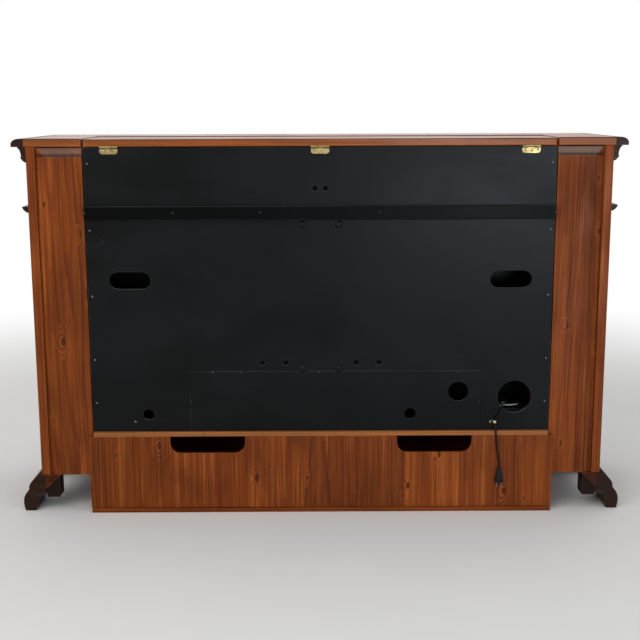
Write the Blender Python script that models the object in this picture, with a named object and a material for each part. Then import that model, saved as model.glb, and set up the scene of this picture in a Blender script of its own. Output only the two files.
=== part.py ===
"""A TV lift cabinet with a flip-up lid, modelled closed, with its lift down.

Metres, +Z up, X across the cabinet, -Y the back, +Y the front.
Shapes are drawn in cabinet coordinates, where y is the distance forward from the back plane.
"""
import math

import bmesh
import bpy
from mathutils import Vector

for leftover in list(bpy.data.objects):
    bpy.data.objects.remove(leftover)

# Gaps
FIT = 0.0003
SLIDE_FIT = 0.0006

# Carcass
CARCASS_WIDTH = 1.622
CARCASS_DEPTH = 0.430
CARCASS_BOTTOM = 0.109
CARCASS_TOP = 1.0505
END_THICK = 0.025
SIDE_BAY = 0.174
PARTITION_THICK = 0.024

# Top and lid
TOP_THICK = 0.0225
TOP_OVERHANG = 0.0065
LID_DEPTH = 0.221
LID_LAP = 0.016
LID_SIDE_GAP = 0.005
LID_FRONT_GAP = 0.0028
LID_SINK = 0.002

# Mouldings: how far they stand out, and how tall they are
NOSING_REACH = 0.033
NOSING_FLAT = 0.011
CORNICE_REACH = 0.022
CORNICE_HEIGHT = 0.042
WAIST_REACH = 0.0165
WAIST_HEIGHT = 0.017
WAIST_DROP = 0.1635
WAIST_LIP = 0.004
WAIST_TOE = 0.002
NOSING_LIP = 0.007
CORNICE_FILLET = 0.003
COVE_DEPTH = 0.0094
COVE_HEIGHT = 0.0235
BEAD = 0.0015
BEAD_HEIGHT = 0.0045
CURVE_STEPS = 5

# Back panels
PANEL_THICK = 0.012
PANEL_LAP = 0.017
PANEL_TOP_GAP = 0.0025
SEAM = 0.0035
SEAM_DROP = 0.1825
RAISED_BEVEL = 0.025
RAISED_DROP = 0.008
RAISED_SHOULDER = 0.0022
RAIL_HEIGHT = 0.039
RAIL_THICK = 0.014
HAND_SLOT_INSET = 0.1175
HAND_SLOT_Z = 0.678
HAND_SLOT_LENGTH = 0.118
HAND_SLOT_HEIGHT = 0.0495
LEAD_HOLE_INSET = 0.0984
LEAD_HOLE_Z = 0.337
LEAD_HOLE_RADIUS = 0.048
SMALL_HOLE_INSET = 0.1585
SMALL_HOLE_Z = 0.288
SMALL_HOLE_RADIUS = 0.016
COVER_LEFT_INSET = 0.279
COVER_RIGHT_INSET = 0.194
COVER_TOP = 0.415
COVER_LAP = 0.010
COVER_THICK = 0.006
COVER_HOLE_INSET = 0.066
COVER_HOLE_Z = 0.353
COVER_HOLE_RADIUS = 0.0285
COVER_SMALL_HOLE_INSET = 0.2036
COUNTERBORE_RADIUS = 0.010
COUNTERBORE_DEPTH = 0.005
UPPER_BORE_X = 0.0148
UPPER_BORE_RISE = 0.0675
LOWER_BORE_RISE = 0.026
LOWER_BORE_INNER_X = 0.100
LOWER_BORE_OUTER_X = 0.1658

# Well and base
WELL_FLOOR_TOP = 0.2385
WELL_FLOOR_THICK = 0.0125
WELL_FRONT_THICK = 0.016
BASE_PANEL_THICK = 0.012
BASE_PANEL_LAP = 0.014
BASE_BOARD_THICK = 0.011
BASE_BOARD_PROUD = 0.009
BASE_BOARD_INSET = 0.003
BASE_SLOT_INSET = 0.3275
BASE_SLOT_WIDTH = 0.2155
BASE_SLOT_DEPTH = 0.050
BASE_SLOT_CORNER = 0.030

# Front
FRAME_THICK = 0.020
CENTRE_STILE = 0.040
FRAME_STILE = 0.054
DOOR_GAP = 0.002
DOOR_DROP = 0.2025
DOOR_BOTTOM = 0.033
DOOR_STILE = 0.070
SIDE_PANEL_DROP = 0.2105
SIDE_PANEL_BOTTOM = 0.160
FRONT_PANEL_THICK = 0.014
FRONT_PANEL_BEVEL = 0.022
FRONT_PANEL_DROP = 0.006
FRONT_PANEL_RECESS = 0.003
KNOB_RADIUS = 0.016
KNOB_REACH = 0.030
KNOB_NECK = 0.007
KNOB_NECK_LENGTH = 0.010
KNOB_SWELL = 0.010
KNOB_HEIGHT = 0.600
DOOR_HINGE_LENGTH = 0.700
DOOR_HINGE_RADIUS = 0.0032
DOOR_LEAF_WIDTH = 0.018
DOOR_LEAF_THICK = 0.0015

# Feet
FOOT_TOP = 0.122
FOOT_SHOULDER = 0.0375
FOOT_SHOULDER_Z = 0.0815
FOOT_NECK = 0.040
FOOT_NECK_Z = 0.064
FOOT_SCROLL = 0.049
FOOT_SCROLL_Z = 0.0525
FOOT_REACH = 0.0565
FOOT_BULGE_Z = 0.028
FOOT_BULGE_HALF = 0.011
FOOT_TOE = 0.0505
FOOT_HEEL = 0.025
FOOT_EASE = 0.0055
FOOT_INSIDE = 0.018
FOOT_STEP_Z = 0.052
FOOT_LENGTH = 0.120
FOOT_UNDERLAP = 0.010
BRACE_WIDTH = 0.044
BRACE_DROP = 0.043
BRACE_THICK = 0.018
BLOCK_WIDTH = 0.0385
BLOCK_DROP = 0.070
BLOCK_BACK = 0.006
BLOCK_DEPTH = 0.054

# Lid hinges
HINGE_INSET = 0.055
HINGE_WIDTH = 0.051
HINGE_KNUCKLE = 0.003
HINGE_PIN = 0.0015
HINGE_BORE = 0.0019
HINGE_LEAF_THICK = 0.0016
HINGE_LEAF_HEIGHT = 0.0192
HINGE_UNDER_LEAF = 0.018
HINGE_DROP = 0.0012

# Lift
COLUMN_WIDTH = 0.150
COLUMN_WALL = 0.004
COLUMN_FLANGE = 0.032
COLUMN_DROP = 0.019
COLUMN_WING_SPAN = 0.185
COLUMN_WING_HEIGHT = 0.045
COLUMN_STRAP_HALF = 0.030
COLUMN_STRAP_RISE = 0.0195
MIDDLE_RAIL = 0.012
MIDDLE_BOTTOM = 0.250
YOKE_THICK = 0.010
YOKE_GAP = 0.002
CARRIAGE_BOTTOM = 0.300
SLIDER_HEIGHT = 0.190
CARRIAGE_PLATE_HALF = 0.100
CARRIAGE_PLATE_HEIGHT = 0.300
CARRIAGE_PLATE_THICK = 0.005
CROSSBAR_HALF = 0.230
CROSSBAR_HEIGHT = 0.040
CROSSBAR_THICK = 0.008
LOWER_CROSSBAR_Z = 0.400
UPPER_CROSSBAR_Z = 0.560
TV_ARM_X = 0.200
TV_ARM_WIDTH = 0.030
TV_ARM_THICK = 0.012
TV_ARM_BOTTOM = 0.310
TV_ARM_HEIGHT = 0.420
BOLT_X = 0.052
BOLT_DROP = 0.033
BOLT_RISE = 0.007
BOLT_SHANK = 0.004
BOLT_HEAD = 0.0105
BOLT_DOME = 0.006

# Actuator, beside the column
ACTUATOR_X = 0.115
ACTUATOR_RADIUS = 0.014
ACTUATOR_TOP = 0.620
ROD_RADIUS = 0.006
ROD_BOTTOM = 0.265
GEARBOX_WIDTH = 0.084
GEARBOX_WALL = 0.008
GEARBOX_TOP = 0.300
MOTOR_OFFSET = 0.038
MOTOR_TOP = 0.400

# Control box, coil, cord, clip and plug
BOX_GAP = 0.017
BOX_WIDTH = 0.150
BOX_BACK = 0.034
BOX_DEPTH = 0.112
BOX_HEIGHT = 0.054
CORD_RADIUS = 0.0026
COIL_RADIUS = 0.031
COIL_PITCH = 0.0060
COIL_TURNS_PER_LAYER = 3.5
COIL_STEPS = 24
CORD_POINTS = 40
CLIP_ASIDE = 0.0551
CLIP_Z = 0.264
CLIP_WALL = 0.0018
CLIP_LENGTH = 0.007
CLIP_TAB = 0.009
PLUG_ASIDE = 0.0413
PLUG_TOP = 0.1335
PLUG_COLLAR_LENGTH = 0.024
PLUG_BODY_LENGTH = 0.022
PLUG_WIDTH = 0.024
PLUG_NECK = 0.004
PLUG_SHOULDER = 0.009
PLUG_DEPTH = 0.015
BLADE_SPACING = 0.0127
BLADE_WIDTH = 0.0063
BLADE_THICK = 0.0015
BLADE_LENGTH = 0.015

# Places that follow from the sizes above
END_X = CARCASS_WIDTH / 2
END_IN = END_X - END_THICK
WELL_X = END_X - SIDE_BAY
PARTITION_X = WELL_X + PARTITION_THICK
BLACK_X = WELL_X + PANEL_LAP
HAND_SLOT_X = BLACK_X - HAND_SLOT_INSET
LEAD_HOLE_X = BLACK_X - LEAD_HOLE_INSET
SMALL_HOLE_X = SMALL_HOLE_INSET - BLACK_X
COVER_LEFT = COVER_LEFT_INSET - BLACK_X
COVER_RIGHT = BLACK_X - COVER_RIGHT_INSET
COVER_HOLE_X = COVER_RIGHT - COVER_HOLE_INSET
COVER_SMALL_HOLE_X = COVER_RIGHT - COVER_SMALL_HOLE_INSET
BASE_SLOT_X = BLACK_X - BASE_SLOT_INSET
HINGE_X = WELL_X - HINGE_INSET
BOX_LEFT = WELL_X - BOX_GAP - BOX_WIDTH
COIL_X = BOX_LEFT + BOX_WIDTH / 2
COIL_Y = BOX_BACK + BOX_DEPTH / 2
CLIP_X = LEAD_HOLE_X - CLIP_ASIDE
PLUG_X = LEAD_HOLE_X - PLUG_ASIDE
LID_X = WELL_X + LID_LAP
WING_IN = LID_X + LID_SIDE_GAP
WING_OUT = END_X + TOP_OVERHANG
TOP_FRONT = CARCASS_DEPTH + TOP_OVERHANG
CARCASS_BACK = PANEL_THICK + FIT
WAIST_TOP = CARCASS_TOP - WAIST_DROP
SEAM_HEIGHT = CARCASS_TOP - SEAM_DROP
UPPER_BORE_Z = SEAM_HEIGHT + UPPER_BORE_RISE
LOWER_BORE_Z = COVER_TOP + LOWER_BORE_RISE
DOOR_TOP = CARCASS_TOP - DOOR_DROP
SIDE_PANEL_TOP = CARCASS_TOP - SIDE_PANEL_DROP
COLUMN_TOP = SEAM_HEIGHT - COLUMN_DROP
COLUMN_STRAP_TOP = UPPER_BORE_Z + COLUMN_STRAP_RISE
BOLT_UPPER_Z = SEAM_HEIGHT - BOLT_DROP
BOLT_LOWER_Z = COVER_TOP + BOLT_RISE
FRAME_BACK = CARCASS_DEPTH - FRAME_THICK
WELL_FRONT_FACE = LID_DEPTH + LID_FRONT_GAP - FIT
WELL_FLOOR_BOTTOM = WELL_FLOOR_TOP - WELL_FLOOR_THICK
BASE_FACE = -(BASE_PANEL_THICK + FIT)
REAR_REACH = BASE_BOARD_PROUD - BASE_FACE
BACK_Y = -(CARCASS_DEPTH + FOOT_REACH - REAR_REACH) / 2
COLUMN_Y = PANEL_THICK + FIT
BOLT_LENGTH = COLUMN_Y + COLUMN_WALL
RAILS_Y = COLUMN_Y + COLUMN_WALL + SLIDE_FIT
RAILS_FRONT = COLUMN_Y + COLUMN_WALL + COLUMN_FLANGE
CARRIAGE_Y = RAILS_FRONT + SLIDE_FIT
CROSSBAR_Y = CARRIAGE_Y + CARRIAGE_PLATE_THICK
TV_ARM_Y = CROSSBAR_Y + CROSSBAR_THICK + FIT
YOKE_BOTTOM = COLUMN_TOP + YOKE_GAP
HINGE_Y = -(HINGE_KNUCKLE + SLIDE_FIT)
HINGE_Z = CARCASS_TOP - HINGE_DROP
DOOR_OUT = PARTITION_X - FRAME_STILE / 2
DOOR_HINGE_X = DOOR_OUT
DOOR_HINGE_Y = CARCASS_DEPTH + FIT + DOOR_HINGE_RADIUS
DOOR_IN = CENTRE_STILE / 2
DOOR_MIDDLE_Z = (DOOR_TOP + DOOR_BOTTOM) / 2
WELL_BOTTOM = WELL_FLOOR_TOP + FIT
BOARD_TOP = CARCASS_TOP - FIT
TOP_SURFACE = CARCASS_TOP + TOP_THICK
BOX_TOP = WELL_BOTTOM + BOX_HEIGHT
ACTUATOR_Y = COLUMN_Y + COLUMN_WALL + SLIDE_FIT + ACTUATOR_RADIUS
MIDDLE_OUT = COLUMN_WIDTH / 2 - COLUMN_WALL - SLIDE_FIT
MIDDLE_IN = MIDDLE_OUT - MIDDLE_RAIL
BOLT_PLACES = [(x, z) for z in (BOLT_UPPER_Z, BOLT_LOWER_Z) for x in (-BOLT_X, BOLT_X)]
CORD_ON_PANEL = -(CORD_RADIUS + 3 * FIT)


# Finishes
def finish(name, colour, roughness, metallic=0.0):
    material = bpy.data.materials.new(name)
    material.use_nodes = True
    shader = material.node_tree.nodes["Principled BSDF"]
    shader.inputs["Base Color"].default_value = (*colour, 1.0)
    shader.inputs["Roughness"].default_value = roughness
    shader.inputs["Metallic"].default_value = metallic
    return material


# Shapes, each a bmesh in cabinet coordinates
def block(x0, x1, y0, y1, z0, z1):
    shape = bmesh.new()
    bmesh.ops.create_cube(shape, size=1.0)
    bmesh.ops.scale(shape, vec=(x1 - x0, y1 - y0, z1 - z0), verts=shape.verts)
    bmesh.ops.translate(shape, vec=((x0 + x1) / 2, (y0 + y1) / 2, (z0 + z1) / 2), verts=shape.verts)
    return shape


def prism(outline, start, along):
    """Extrudes a flat outline, given as 3-D points, along a vector."""
    shape = bmesh.new()
    face = shape.faces.new([shape.verts.new(Vector(point) + Vector(start)) for point in outline])
    grown = bmesh.ops.extrude_face_region(shape, geom=[face])
    moved = [item for item in grown["geom"] if isinstance(item, bmesh.types.BMVert)]
    bmesh.ops.translate(shape, vec=along, verts=moved)
    bmesh.ops.recalc_face_normals(shape, faces=shape.faces)
    return shape


def front_plate(outline, y0, y1):
    """An outline in x and z, as thick as y0 to y1."""
    return prism([(x, 0, z) for x, z in outline], (0, y0, 0), (0, y1 - y0, 0))


def side_plate(outline, x0, x1):
    """An outline in y and z, as thick as x0 to x1."""
    return prism([(0, y, z) for y, z in outline], (x0, 0, 0), (x1 - x0, 0, 0))


def flat_plate(outline, z0, z1):
    """An outline in x and y, as thick as z0 to z1."""
    return prism([(x, y, 0) for x, y in outline], (0, 0, z0), (0, 0, z1 - z0))


def arc(centre, radius, start, end, steps):
    """Points on an arc in a plane, with angles in degrees."""
    points = []
    for step in range(steps + 1):
        angle = math.radians(start + (end - start) * step / steps)
        points.append((centre[0] + radius * math.cos(angle), centre[1] + radius * math.sin(angle)))
    return points


def rod(start, end, radius, sides=24):
    """A round bar between two points."""
    start = Vector(start)
    along = Vector(end) - start
    shape = bmesh.new()
    bmesh.ops.create_circle(shape, cap_ends=True, radius=radius, segments=sides)
    turn = along.to_track_quat("Z", "Y").to_matrix()
    bmesh.ops.rotate(shape, matrix=turn, verts=shape.verts)
    bmesh.ops.translate(shape, vec=start, verts=shape.verts)
    grown = bmesh.ops.extrude_face_region(shape, geom=shape.faces[:])
    moved = [item for item in grown["geom"] if isinstance(item, bmesh.types.BMVert)]
    bmesh.ops.translate(shape, vec=along, verts=moved)
    bmesh.ops.recalc_face_normals(shape, faces=shape.faces)
    return shape


def turned(profile, foot, along, steps=24):
    """A solid of revolution: profile points are radius and distance along the axis from its foot."""
    along = Vector(along)
    shape = bmesh.new()
    points = [shape.verts.new((radius, 0, height)) for radius, height in profile]
    edges = [shape.edges.new(pair) for pair in zip(points, points[1:])]
    bmesh.ops.spin(shape, geom=points + edges, cent=(0, 0, 0), axis=(0, 0, 1),
                   angle=2 * math.pi, steps=steps, use_merge=True)
    bmesh.ops.remove_doubles(shape, verts=shape.verts, dist=1e-6)
    bmesh.ops.rotate(shape, matrix=along.to_track_quat("Z", "Y").to_matrix(), verts=shape.verts)
    bmesh.ops.translate(shape, vec=foot, verts=shape.verts)
    bmesh.ops.recalc_face_normals(shape, faces=shape.faces)
    return shape


def swept(profile, path):
    """A moulding: a profile of outward reach and height, carried along a path with mitred corners."""
    shape = bmesh.new()
    rings = []
    ways = [(Vector(b) - Vector(a)).normalized() for a, b in zip(path, path[1:])]
    for index, point in enumerate(path):
        before = ways[max(index - 1, 0)]
        after = ways[min(index, len(ways) - 1)]
        outward_before = Vector((-before.y, before.x))
        outward_after = Vector((-after.y, after.x))
        mitre = (outward_before + outward_after) / (1 + outward_before.dot(outward_after))
        rings.append([shape.verts.new((point[0] + reach * mitre.x, point[1] + reach * mitre.y, height))
                      for reach, height in profile])
    for ring, following in zip(rings, rings[1:]):
        for index in range(len(ring)):
            nearby = (index + 1) % len(ring)
            shape.faces.new((ring[index], ring[nearby], following[nearby], following[index]))
    shape.faces.new(rings[0])
    shape.faces.new(rings[-1])
    bmesh.ops.recalc_face_normals(shape, faces=shape.faces)
    return shape


def raised(x0, x1, z0, z1, face_y, back_y, drop, bevels):
    """A panel with a raised field. bevels are the widths on its left, right, lower and upper sides."""
    left, right, lower, upper = bevels
    toward = 1 if back_y > face_y else -1
    edge_y = face_y + toward * drop
    corners = [(x0, edge_y, z0), (x1, edge_y, z0), (x1, edge_y, z1), (x0, edge_y, z1)]
    corners += [(x, back_y, z) for x, _, z in corners]
    corners += [(x, face_y, z) for x in (x0 + left, x1 - right) for z in (z0 + lower, z1 - upper)]
    shape = bmesh.new()
    points = [shape.verts.new(corner) for corner in corners]
    bmesh.ops.convex_hull(shape, input=points)
    bmesh.ops.delete(shape, geom=[point for point in shape.verts if not point.link_faces], context="VERTS")
    bmesh.ops.recalc_face_normals(shape, faces=shape.faces)
    return shape


def stadium(centre_x, centre_z, length, height, y0, y1):
    """A slot with round ends, lying along x."""
    radius = height / 2
    run = length / 2 - radius
    outline = arc((centre_x + run, centre_z), radius, -90, 90, 8)
    outline += arc((centre_x - run, centre_z), radius, 90, 270, 8)
    return front_plate(outline, y0, y1)


# Objects
def stage(name, place, parent=None):
    """An empty that carries pieces that move together, standing on their joint's axis."""
    empty = bpy.data.objects.new(name, None)
    empty.location = place
    empty.parent = parent
    bpy.context.collection.objects.link(empty)
    return empty


def place(name, shape, material, carrier):
    """Makes a named object of a shape drawn in cabinet coordinates, with its origin on its carrier."""
    if carrier.parent:
        bmesh.ops.translate(shape, vec=-carrier.location, verts=shape.verts)
    mesh = bpy.data.meshes.new(name)
    shape.to_mesh(mesh)
    shape.free()
    mesh.materials.append(material)
    obj = bpy.data.objects.new(name, mesh)
    obj.parent = carrier
    bpy.context.collection.objects.link(obj)
    return obj


def combine(obj, shape, operation):
    """Joins on or cuts away a shape with a Boolean, whose helper stays hidden."""
    helper_name = f"{obj.name}_{operation.lower()}_{len(obj.modifiers)}"
    helper = place(helper_name, shape, obj.data.materials[0], obj.parent)
    helper.hide_render = True
    helper.display_type = "WIRE"
    modifier = obj.modifiers.new(helper_name, "BOOLEAN")
    modifier.operation = operation
    modifier.solver = "EXACT"
    modifier.object = helper


def together(shapes):
    """Puts shapes that stand clear of each other into one."""
    whole = bmesh.new()
    for shape in shapes:
        mesh = bpy.data.meshes.new("shape")
        shape.to_mesh(mesh)
        shape.free()
        whole.from_mesh(mesh)
        bpy.data.meshes.remove(mesh)
    return whole


def cut(obj, *shapes):
    combine(obj, together(shapes), "DIFFERENCE")


def add(obj, shape):
    combine(obj, shape, "UNION")


def smooth(obj, angle=35):
    obj.data.shade_smooth()
    obj.data.set_sharp_from_angle(angle=math.radians(angle))


def span(side, inner, outer):
    """The x range between two distances from the middle, on the left or the right side."""
    return sorted((side * inner, side * outer))


SIDES = (("left", -1), ("right", 1))


# Carcass
def make_ends_and_partitions():
    partition_outline = [
        (0, BASE_BOARD_THICK + FIT),
        (FRAME_BACK - FIT, BASE_BOARD_THICK + FIT),
        (FRAME_BACK - FIT, BOARD_TOP),
        (CARCASS_BACK, BOARD_TOP),
        (CARCASS_BACK, CARCASS_BOTTOM - FIT),
        (0, CARCASS_BOTTOM - FIT),
    ]
    for name, side in SIDES:
        end = block(*span(side, END_IN, END_X), 0, FRAME_BACK - FIT, CARCASS_BOTTOM, BOARD_TOP)
        place(f"{name}_end_panel", end, PINE, CABINET)
        partition = side_plate(partition_outline, *span(side, WELL_X, PARTITION_X))
        place(f"{name}_partition", partition, PINE, CABINET)


def make_well_and_base():
    well_x = WELL_X - FIT
    floor_outline = [
        (-BLACK_X, BASE_FACE), (BLACK_X, BASE_FACE), (BLACK_X, PANEL_THICK), (well_x, PANEL_THICK),
        (well_x, FRAME_BACK - FIT), (-well_x, FRAME_BACK - FIT), (-well_x, PANEL_THICK),
        (-BLACK_X, PANEL_THICK),
    ]
    place("well_floor", flat_plate(floor_outline, WELL_FLOOR_BOTTOM, WELL_FLOOR_TOP), PINE, CABINET)
    place("well_front_panel", block(-well_x, well_x, WELL_FRONT_FACE - WELL_FRONT_THICK, WELL_FRONT_FACE,
                                    WELL_BOTTOM, BOARD_TOP), PINE, CABINET)
    base_x = BLACK_X + BASE_PANEL_LAP
    board_x = base_x - BASE_BOARD_INSET
    place("base_bottom_board", block(-board_x, board_x, BASE_FACE - BASE_BOARD_PROUD, FRAME_BACK - FIT,
                                     0, BASE_BOARD_THICK), PINE, CABINET)
    base_top = WELL_FLOOR_BOTTOM - FIT
    shape = block(-base_x, base_x, BASE_FACE, -FIT, BASE_BOARD_THICK + FIT, base_top)
    panel = place("base_back_panel", shape, PINE, CABINET)
    cut(panel, base_slot(-BASE_SLOT_X, base_top), base_slot(BASE_SLOT_X, base_top))


def base_slot(centre_x, top):
    """A cable slot open at the panel's upper edge, with round lower corners."""
    half = BASE_SLOT_WIDTH / 2
    low = top - BASE_SLOT_DEPTH
    corner = BASE_SLOT_CORNER
    outline = [(centre_x + half, top + BASE_SLOT_DEPTH), (centre_x - half, top + BASE_SLOT_DEPTH)]
    outline += arc((centre_x - half + corner, low + corner), corner, 180, 270, CURVE_STEPS)
    outline += arc((centre_x + half - corner, low + corner), corner, 270, 360, CURVE_STEPS)
    return front_plate(outline, BASE_FACE - BASE_PANEL_THICK, BASE_PANEL_THICK)


# Top and mouldings
def make_top():
    for name, side in SIDES:
        x0, x1 = span(side, WING_IN, WING_OUT)
        place(f"{name}_top_wing", block(x0, x1, 0, TOP_FRONT, CARCASS_TOP, TOP_SURFACE), PINE, CABINET)
    front_x = WING_IN - FIT
    place("front_top_board", block(-front_x, front_x, LID_DEPTH + LID_FRONT_GAP, TOP_FRONT,
                                   CARCASS_TOP, TOP_SURFACE), PINE, CABINET)


def around(half_width, depth):
    """The path of a moulding round the left end, the front and the right end."""
    return [(-half_width, 0), (-half_width, depth), (half_width, depth), (half_width, 0)]


def nosing_profile():
    bulge = NOSING_REACH - NOSING_FLAT
    rise = TOP_THICK - NOSING_LIP
    curve = [(NOSING_FLAT + bulge * c, CARCASS_TOP + NOSING_LIP + rise * s)
             for c, s in arc((0, 0), 1, 0, 90, CURVE_STEPS)]
    return [(FIT, CARCASS_TOP), (NOSING_REACH, CARCASS_TOP)] + curve + [(FIT, TOP_SURFACE)]


def cornice_profile():
    low = BOARD_TOP - CORNICE_HEIGHT
    cove_top = BOARD_TOP - CORNICE_FILLET
    cove_low = cove_top - COVE_HEIGHT
    inside = CORNICE_REACH - COVE_DEPTH
    cove = [(CORNICE_REACH - COVE_DEPTH * s, cove_low + COVE_HEIGHT * c)
            for c, s in arc((0, 0), 1, 0, 90, CURVE_STEPS)]
    bead = [(inside + BEAD, cove_low - BEAD), (inside + BEAD, cove_low - BEAD_HEIGHT)]
    return [(FIT, low), (FIT, BOARD_TOP), (CORNICE_REACH, BOARD_TOP)] + cove + bead + [(BEAD, low)]


def waist_profile():
    low = WAIST_TOP - WAIST_HEIGHT
    return [(FIT, low), (FIT, WAIST_TOP), (WAIST_REACH, WAIST_TOP),
            (WAIST_REACH, WAIST_TOP - WAIST_LIP), (WAIST_TOE, low)]


def make_mouldings():
    place("top_nosing", swept(nosing_profile(), around(WING_OUT, TOP_FRONT)), DARK, CABINET)
    place("cornice_moulding", swept(cornice_profile(), around(END_X, CARCASS_DEPTH)), DARK, CABINET)
    place("waist_moulding", swept(waist_profile(), around(END_X, CARCASS_DEPTH)), DARK, CABINET)


# Back panels
def make_back_panels():
    panel_top = CARCASS_TOP - PANEL_TOP_GAP
    for name, side in SIDES:
        x0, x1 = span(side, BLACK_X + SEAM, END_IN - FIT)
        bevels = (RAISED_BEVEL, 0, 0, RAISED_BEVEL) if side < 0 else (0, RAISED_BEVEL, 0, RAISED_BEVEL)
        slope = RAISED_DROP - RAISED_SHOULDER
        shape = raised(x0, x1, CARCASS_BOTTOM, panel_top, RAISED_SHOULDER, PANEL_THICK, slope, bevels)
        panel = place(f"{name}_back_panel", shape, PINE, CABINET)
        left, right, _, upper = bevels
        add(panel, block(x0 + left, x1 - right, 0, RAISED_DROP, CARCASS_BOTTOM, panel_top - upper))
    upper_shape = block(-BLACK_X, BLACK_X, 0, PANEL_THICK, SEAM_HEIGHT, panel_top)
    upper = place("upper_back_panel", upper_shape, BLACK, CABINET)
    main_shape = block(-BLACK_X, BLACK_X, 0, PANEL_THICK, WELL_BOTTOM, SEAM_HEIGHT - FIT)
    main = place("main_back_panel", main_shape, BLACK, CABINET)
    rail_low = SEAM_HEIGHT - RAIL_HEIGHT / 2
    rail = block(-BLACK_X, BLACK_X, -(RAIL_THICK + FIT), -FIT, rail_low, rail_low + RAIL_HEIGHT)
    place("back_rail", rail, BLACK, CABINET)
    cut(upper, counterbore(-UPPER_BORE_X, UPPER_BORE_Z), counterbore(UPPER_BORE_X, UPPER_BORE_Z))
    below = WELL_BOTTOM - PANEL_THICK
    pockets = [block(COVER_LEFT, COVER_RIGHT, -PANEL_THICK, COVER_THICK + FIT, below, COVER_TOP)]
    for x in (-LOWER_BORE_OUTER_X, -LOWER_BORE_INNER_X, LOWER_BORE_INNER_X, LOWER_BORE_OUTER_X):
        pockets.append(counterbore(x, LOWER_BORE_Z))
    cut(main, *pockets)
    holes = [through(x, z, BOLT_SHANK + FIT) for x, z in BOLT_PLACES]
    holes.append(through(LEAD_HOLE_X, LEAD_HOLE_Z, LEAD_HOLE_RADIUS))
    holes.append(through(SMALL_HOLE_X, SMALL_HOLE_Z, SMALL_HOLE_RADIUS))
    for x in (-HAND_SLOT_X, HAND_SLOT_X):
        holes.append(stadium(x, HAND_SLOT_Z, HAND_SLOT_LENGTH, HAND_SLOT_HEIGHT,
                             -PANEL_THICK, 2 * PANEL_THICK))
    holes.append(block(COVER_LEFT + COVER_LAP, COVER_RIGHT - COVER_LAP, -2 * PANEL_THICK, 2 * PANEL_THICK,
                       below - PANEL_THICK, COVER_TOP - COVER_LAP))
    cut(main, *holes)


def through(x, z, radius):
    """A cutter for a round hole through a back panel."""
    return rod((x, -PANEL_THICK, z), (x, 3 * PANEL_THICK, z), radius)


def counterbore(x, z):
    return rod((x, -PANEL_THICK, z), (x, COUNTERBORE_DEPTH, z), COUNTERBORE_RADIUS)


def make_access_cover():
    cover = place("access_cover", block(COVER_LEFT + FIT, COVER_RIGHT - FIT, 0, COVER_THICK,
                                        WELL_BOTTOM, COVER_TOP - FIT), BLACK, CABINET)
    cut(cover, through(COVER_HOLE_X, COVER_HOLE_Z, COVER_HOLE_RADIUS),
        through(COVER_SMALL_HOLE_X, SMALL_HOLE_Z, SMALL_HOLE_RADIUS))


# Front
def make_face_frame():
    outline = [
        (-END_X, CARCASS_BOTTOM), (-PARTITION_X, CARCASS_BOTTOM), (-PARTITION_X, 0), (PARTITION_X, 0),
        (PARTITION_X, CARCASS_BOTTOM), (END_X, CARCASS_BOTTOM), (END_X, BOARD_TOP), (-END_X, BOARD_TOP),
    ]
    frame = place("face_frame", front_plate(outline, FRAME_BACK, CARCASS_DEPTH), PINE, CABINET)
    y0, y1 = FRAME_BACK - FRAME_THICK, CARCASS_DEPTH + FRAME_THICK
    panel_in = DOOR_OUT + FRAME_STILE
    openings = []
    for name, side in SIDES:
        door_x = span(side, DOOR_IN, DOOR_OUT)
        openings.append(block(*door_x, y0, y1, DOOR_BOTTOM - DOOR_GAP, DOOR_TOP + DOOR_GAP))
        openings.append(block(*span(side, panel_in, END_IN), y0, y1, SIDE_PANEL_BOTTOM, SIDE_PANEL_TOP))
        x0, x1 = span(side, panel_in + FIT, END_IN - FIT)
        panel = front_panel(x0, x1, SIDE_PANEL_BOTTOM + FIT, SIDE_PANEL_TOP - FIT)
        place(f"{name}_front_panel", panel, PINE, CABINET)
    cut(frame, *openings)


def front_panel(x0, x1, z0, z1):
    face = CARCASS_DEPTH - FRONT_PANEL_RECESS
    return raised(x0, x1, z0, z1, face, face - FRONT_PANEL_THICK, FRONT_PANEL_DROP, [FRONT_PANEL_BEVEL] * 4)


def make_doors():
    for name, side in SIDES:
        axis = stage(f"{name}_door_axis", (side * DOOR_HINGE_X, DOOR_HINGE_Y, 0), CABINET)
        x0, x1 = span(side, DOOR_IN + DOOR_GAP, DOOR_OUT - DOOR_GAP)
        shape = block(x0, x1, FRAME_BACK, CARCASS_DEPTH, DOOR_BOTTOM, DOOR_TOP)
        door = place(f"{name}_door_frame", shape, PINE, axis)
        left, right = x0 + DOOR_STILE, x1 - DOOR_STILE
        low, high = DOOR_BOTTOM + DOOR_STILE, DOOR_TOP - DOOR_STILE
        cut(door, block(left, right, FRAME_BACK - FRAME_THICK, CARCASS_DEPTH + FRAME_THICK, low, high))
        panel = front_panel(left + FIT, right - FIT, low + FIT, high - FIT)
        place(f"{name}_door_panel", panel, PINE, axis)
        make_knob(f"{name}_door_knob", side * (DOOR_IN + DOOR_GAP + DOOR_STILE / 2), axis)
        make_door_hinge(f"{name}_door_hinge", side)


def make_knob(name, x, axis):
    profile = [
        (0, 0), (KNOB_NECK, 0), (KNOB_NECK, KNOB_NECK_LENGTH), (KNOB_RADIUS, KNOB_NECK_LENGTH + KNOB_SWELL),
        (KNOB_NECK, KNOB_REACH), (0, KNOB_REACH),
    ]
    smooth(place(name, turned(profile, (x, CARCASS_DEPTH + FIT, KNOB_HEIGHT), (0, 1, 0), 16), BRASS, axis))


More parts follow.
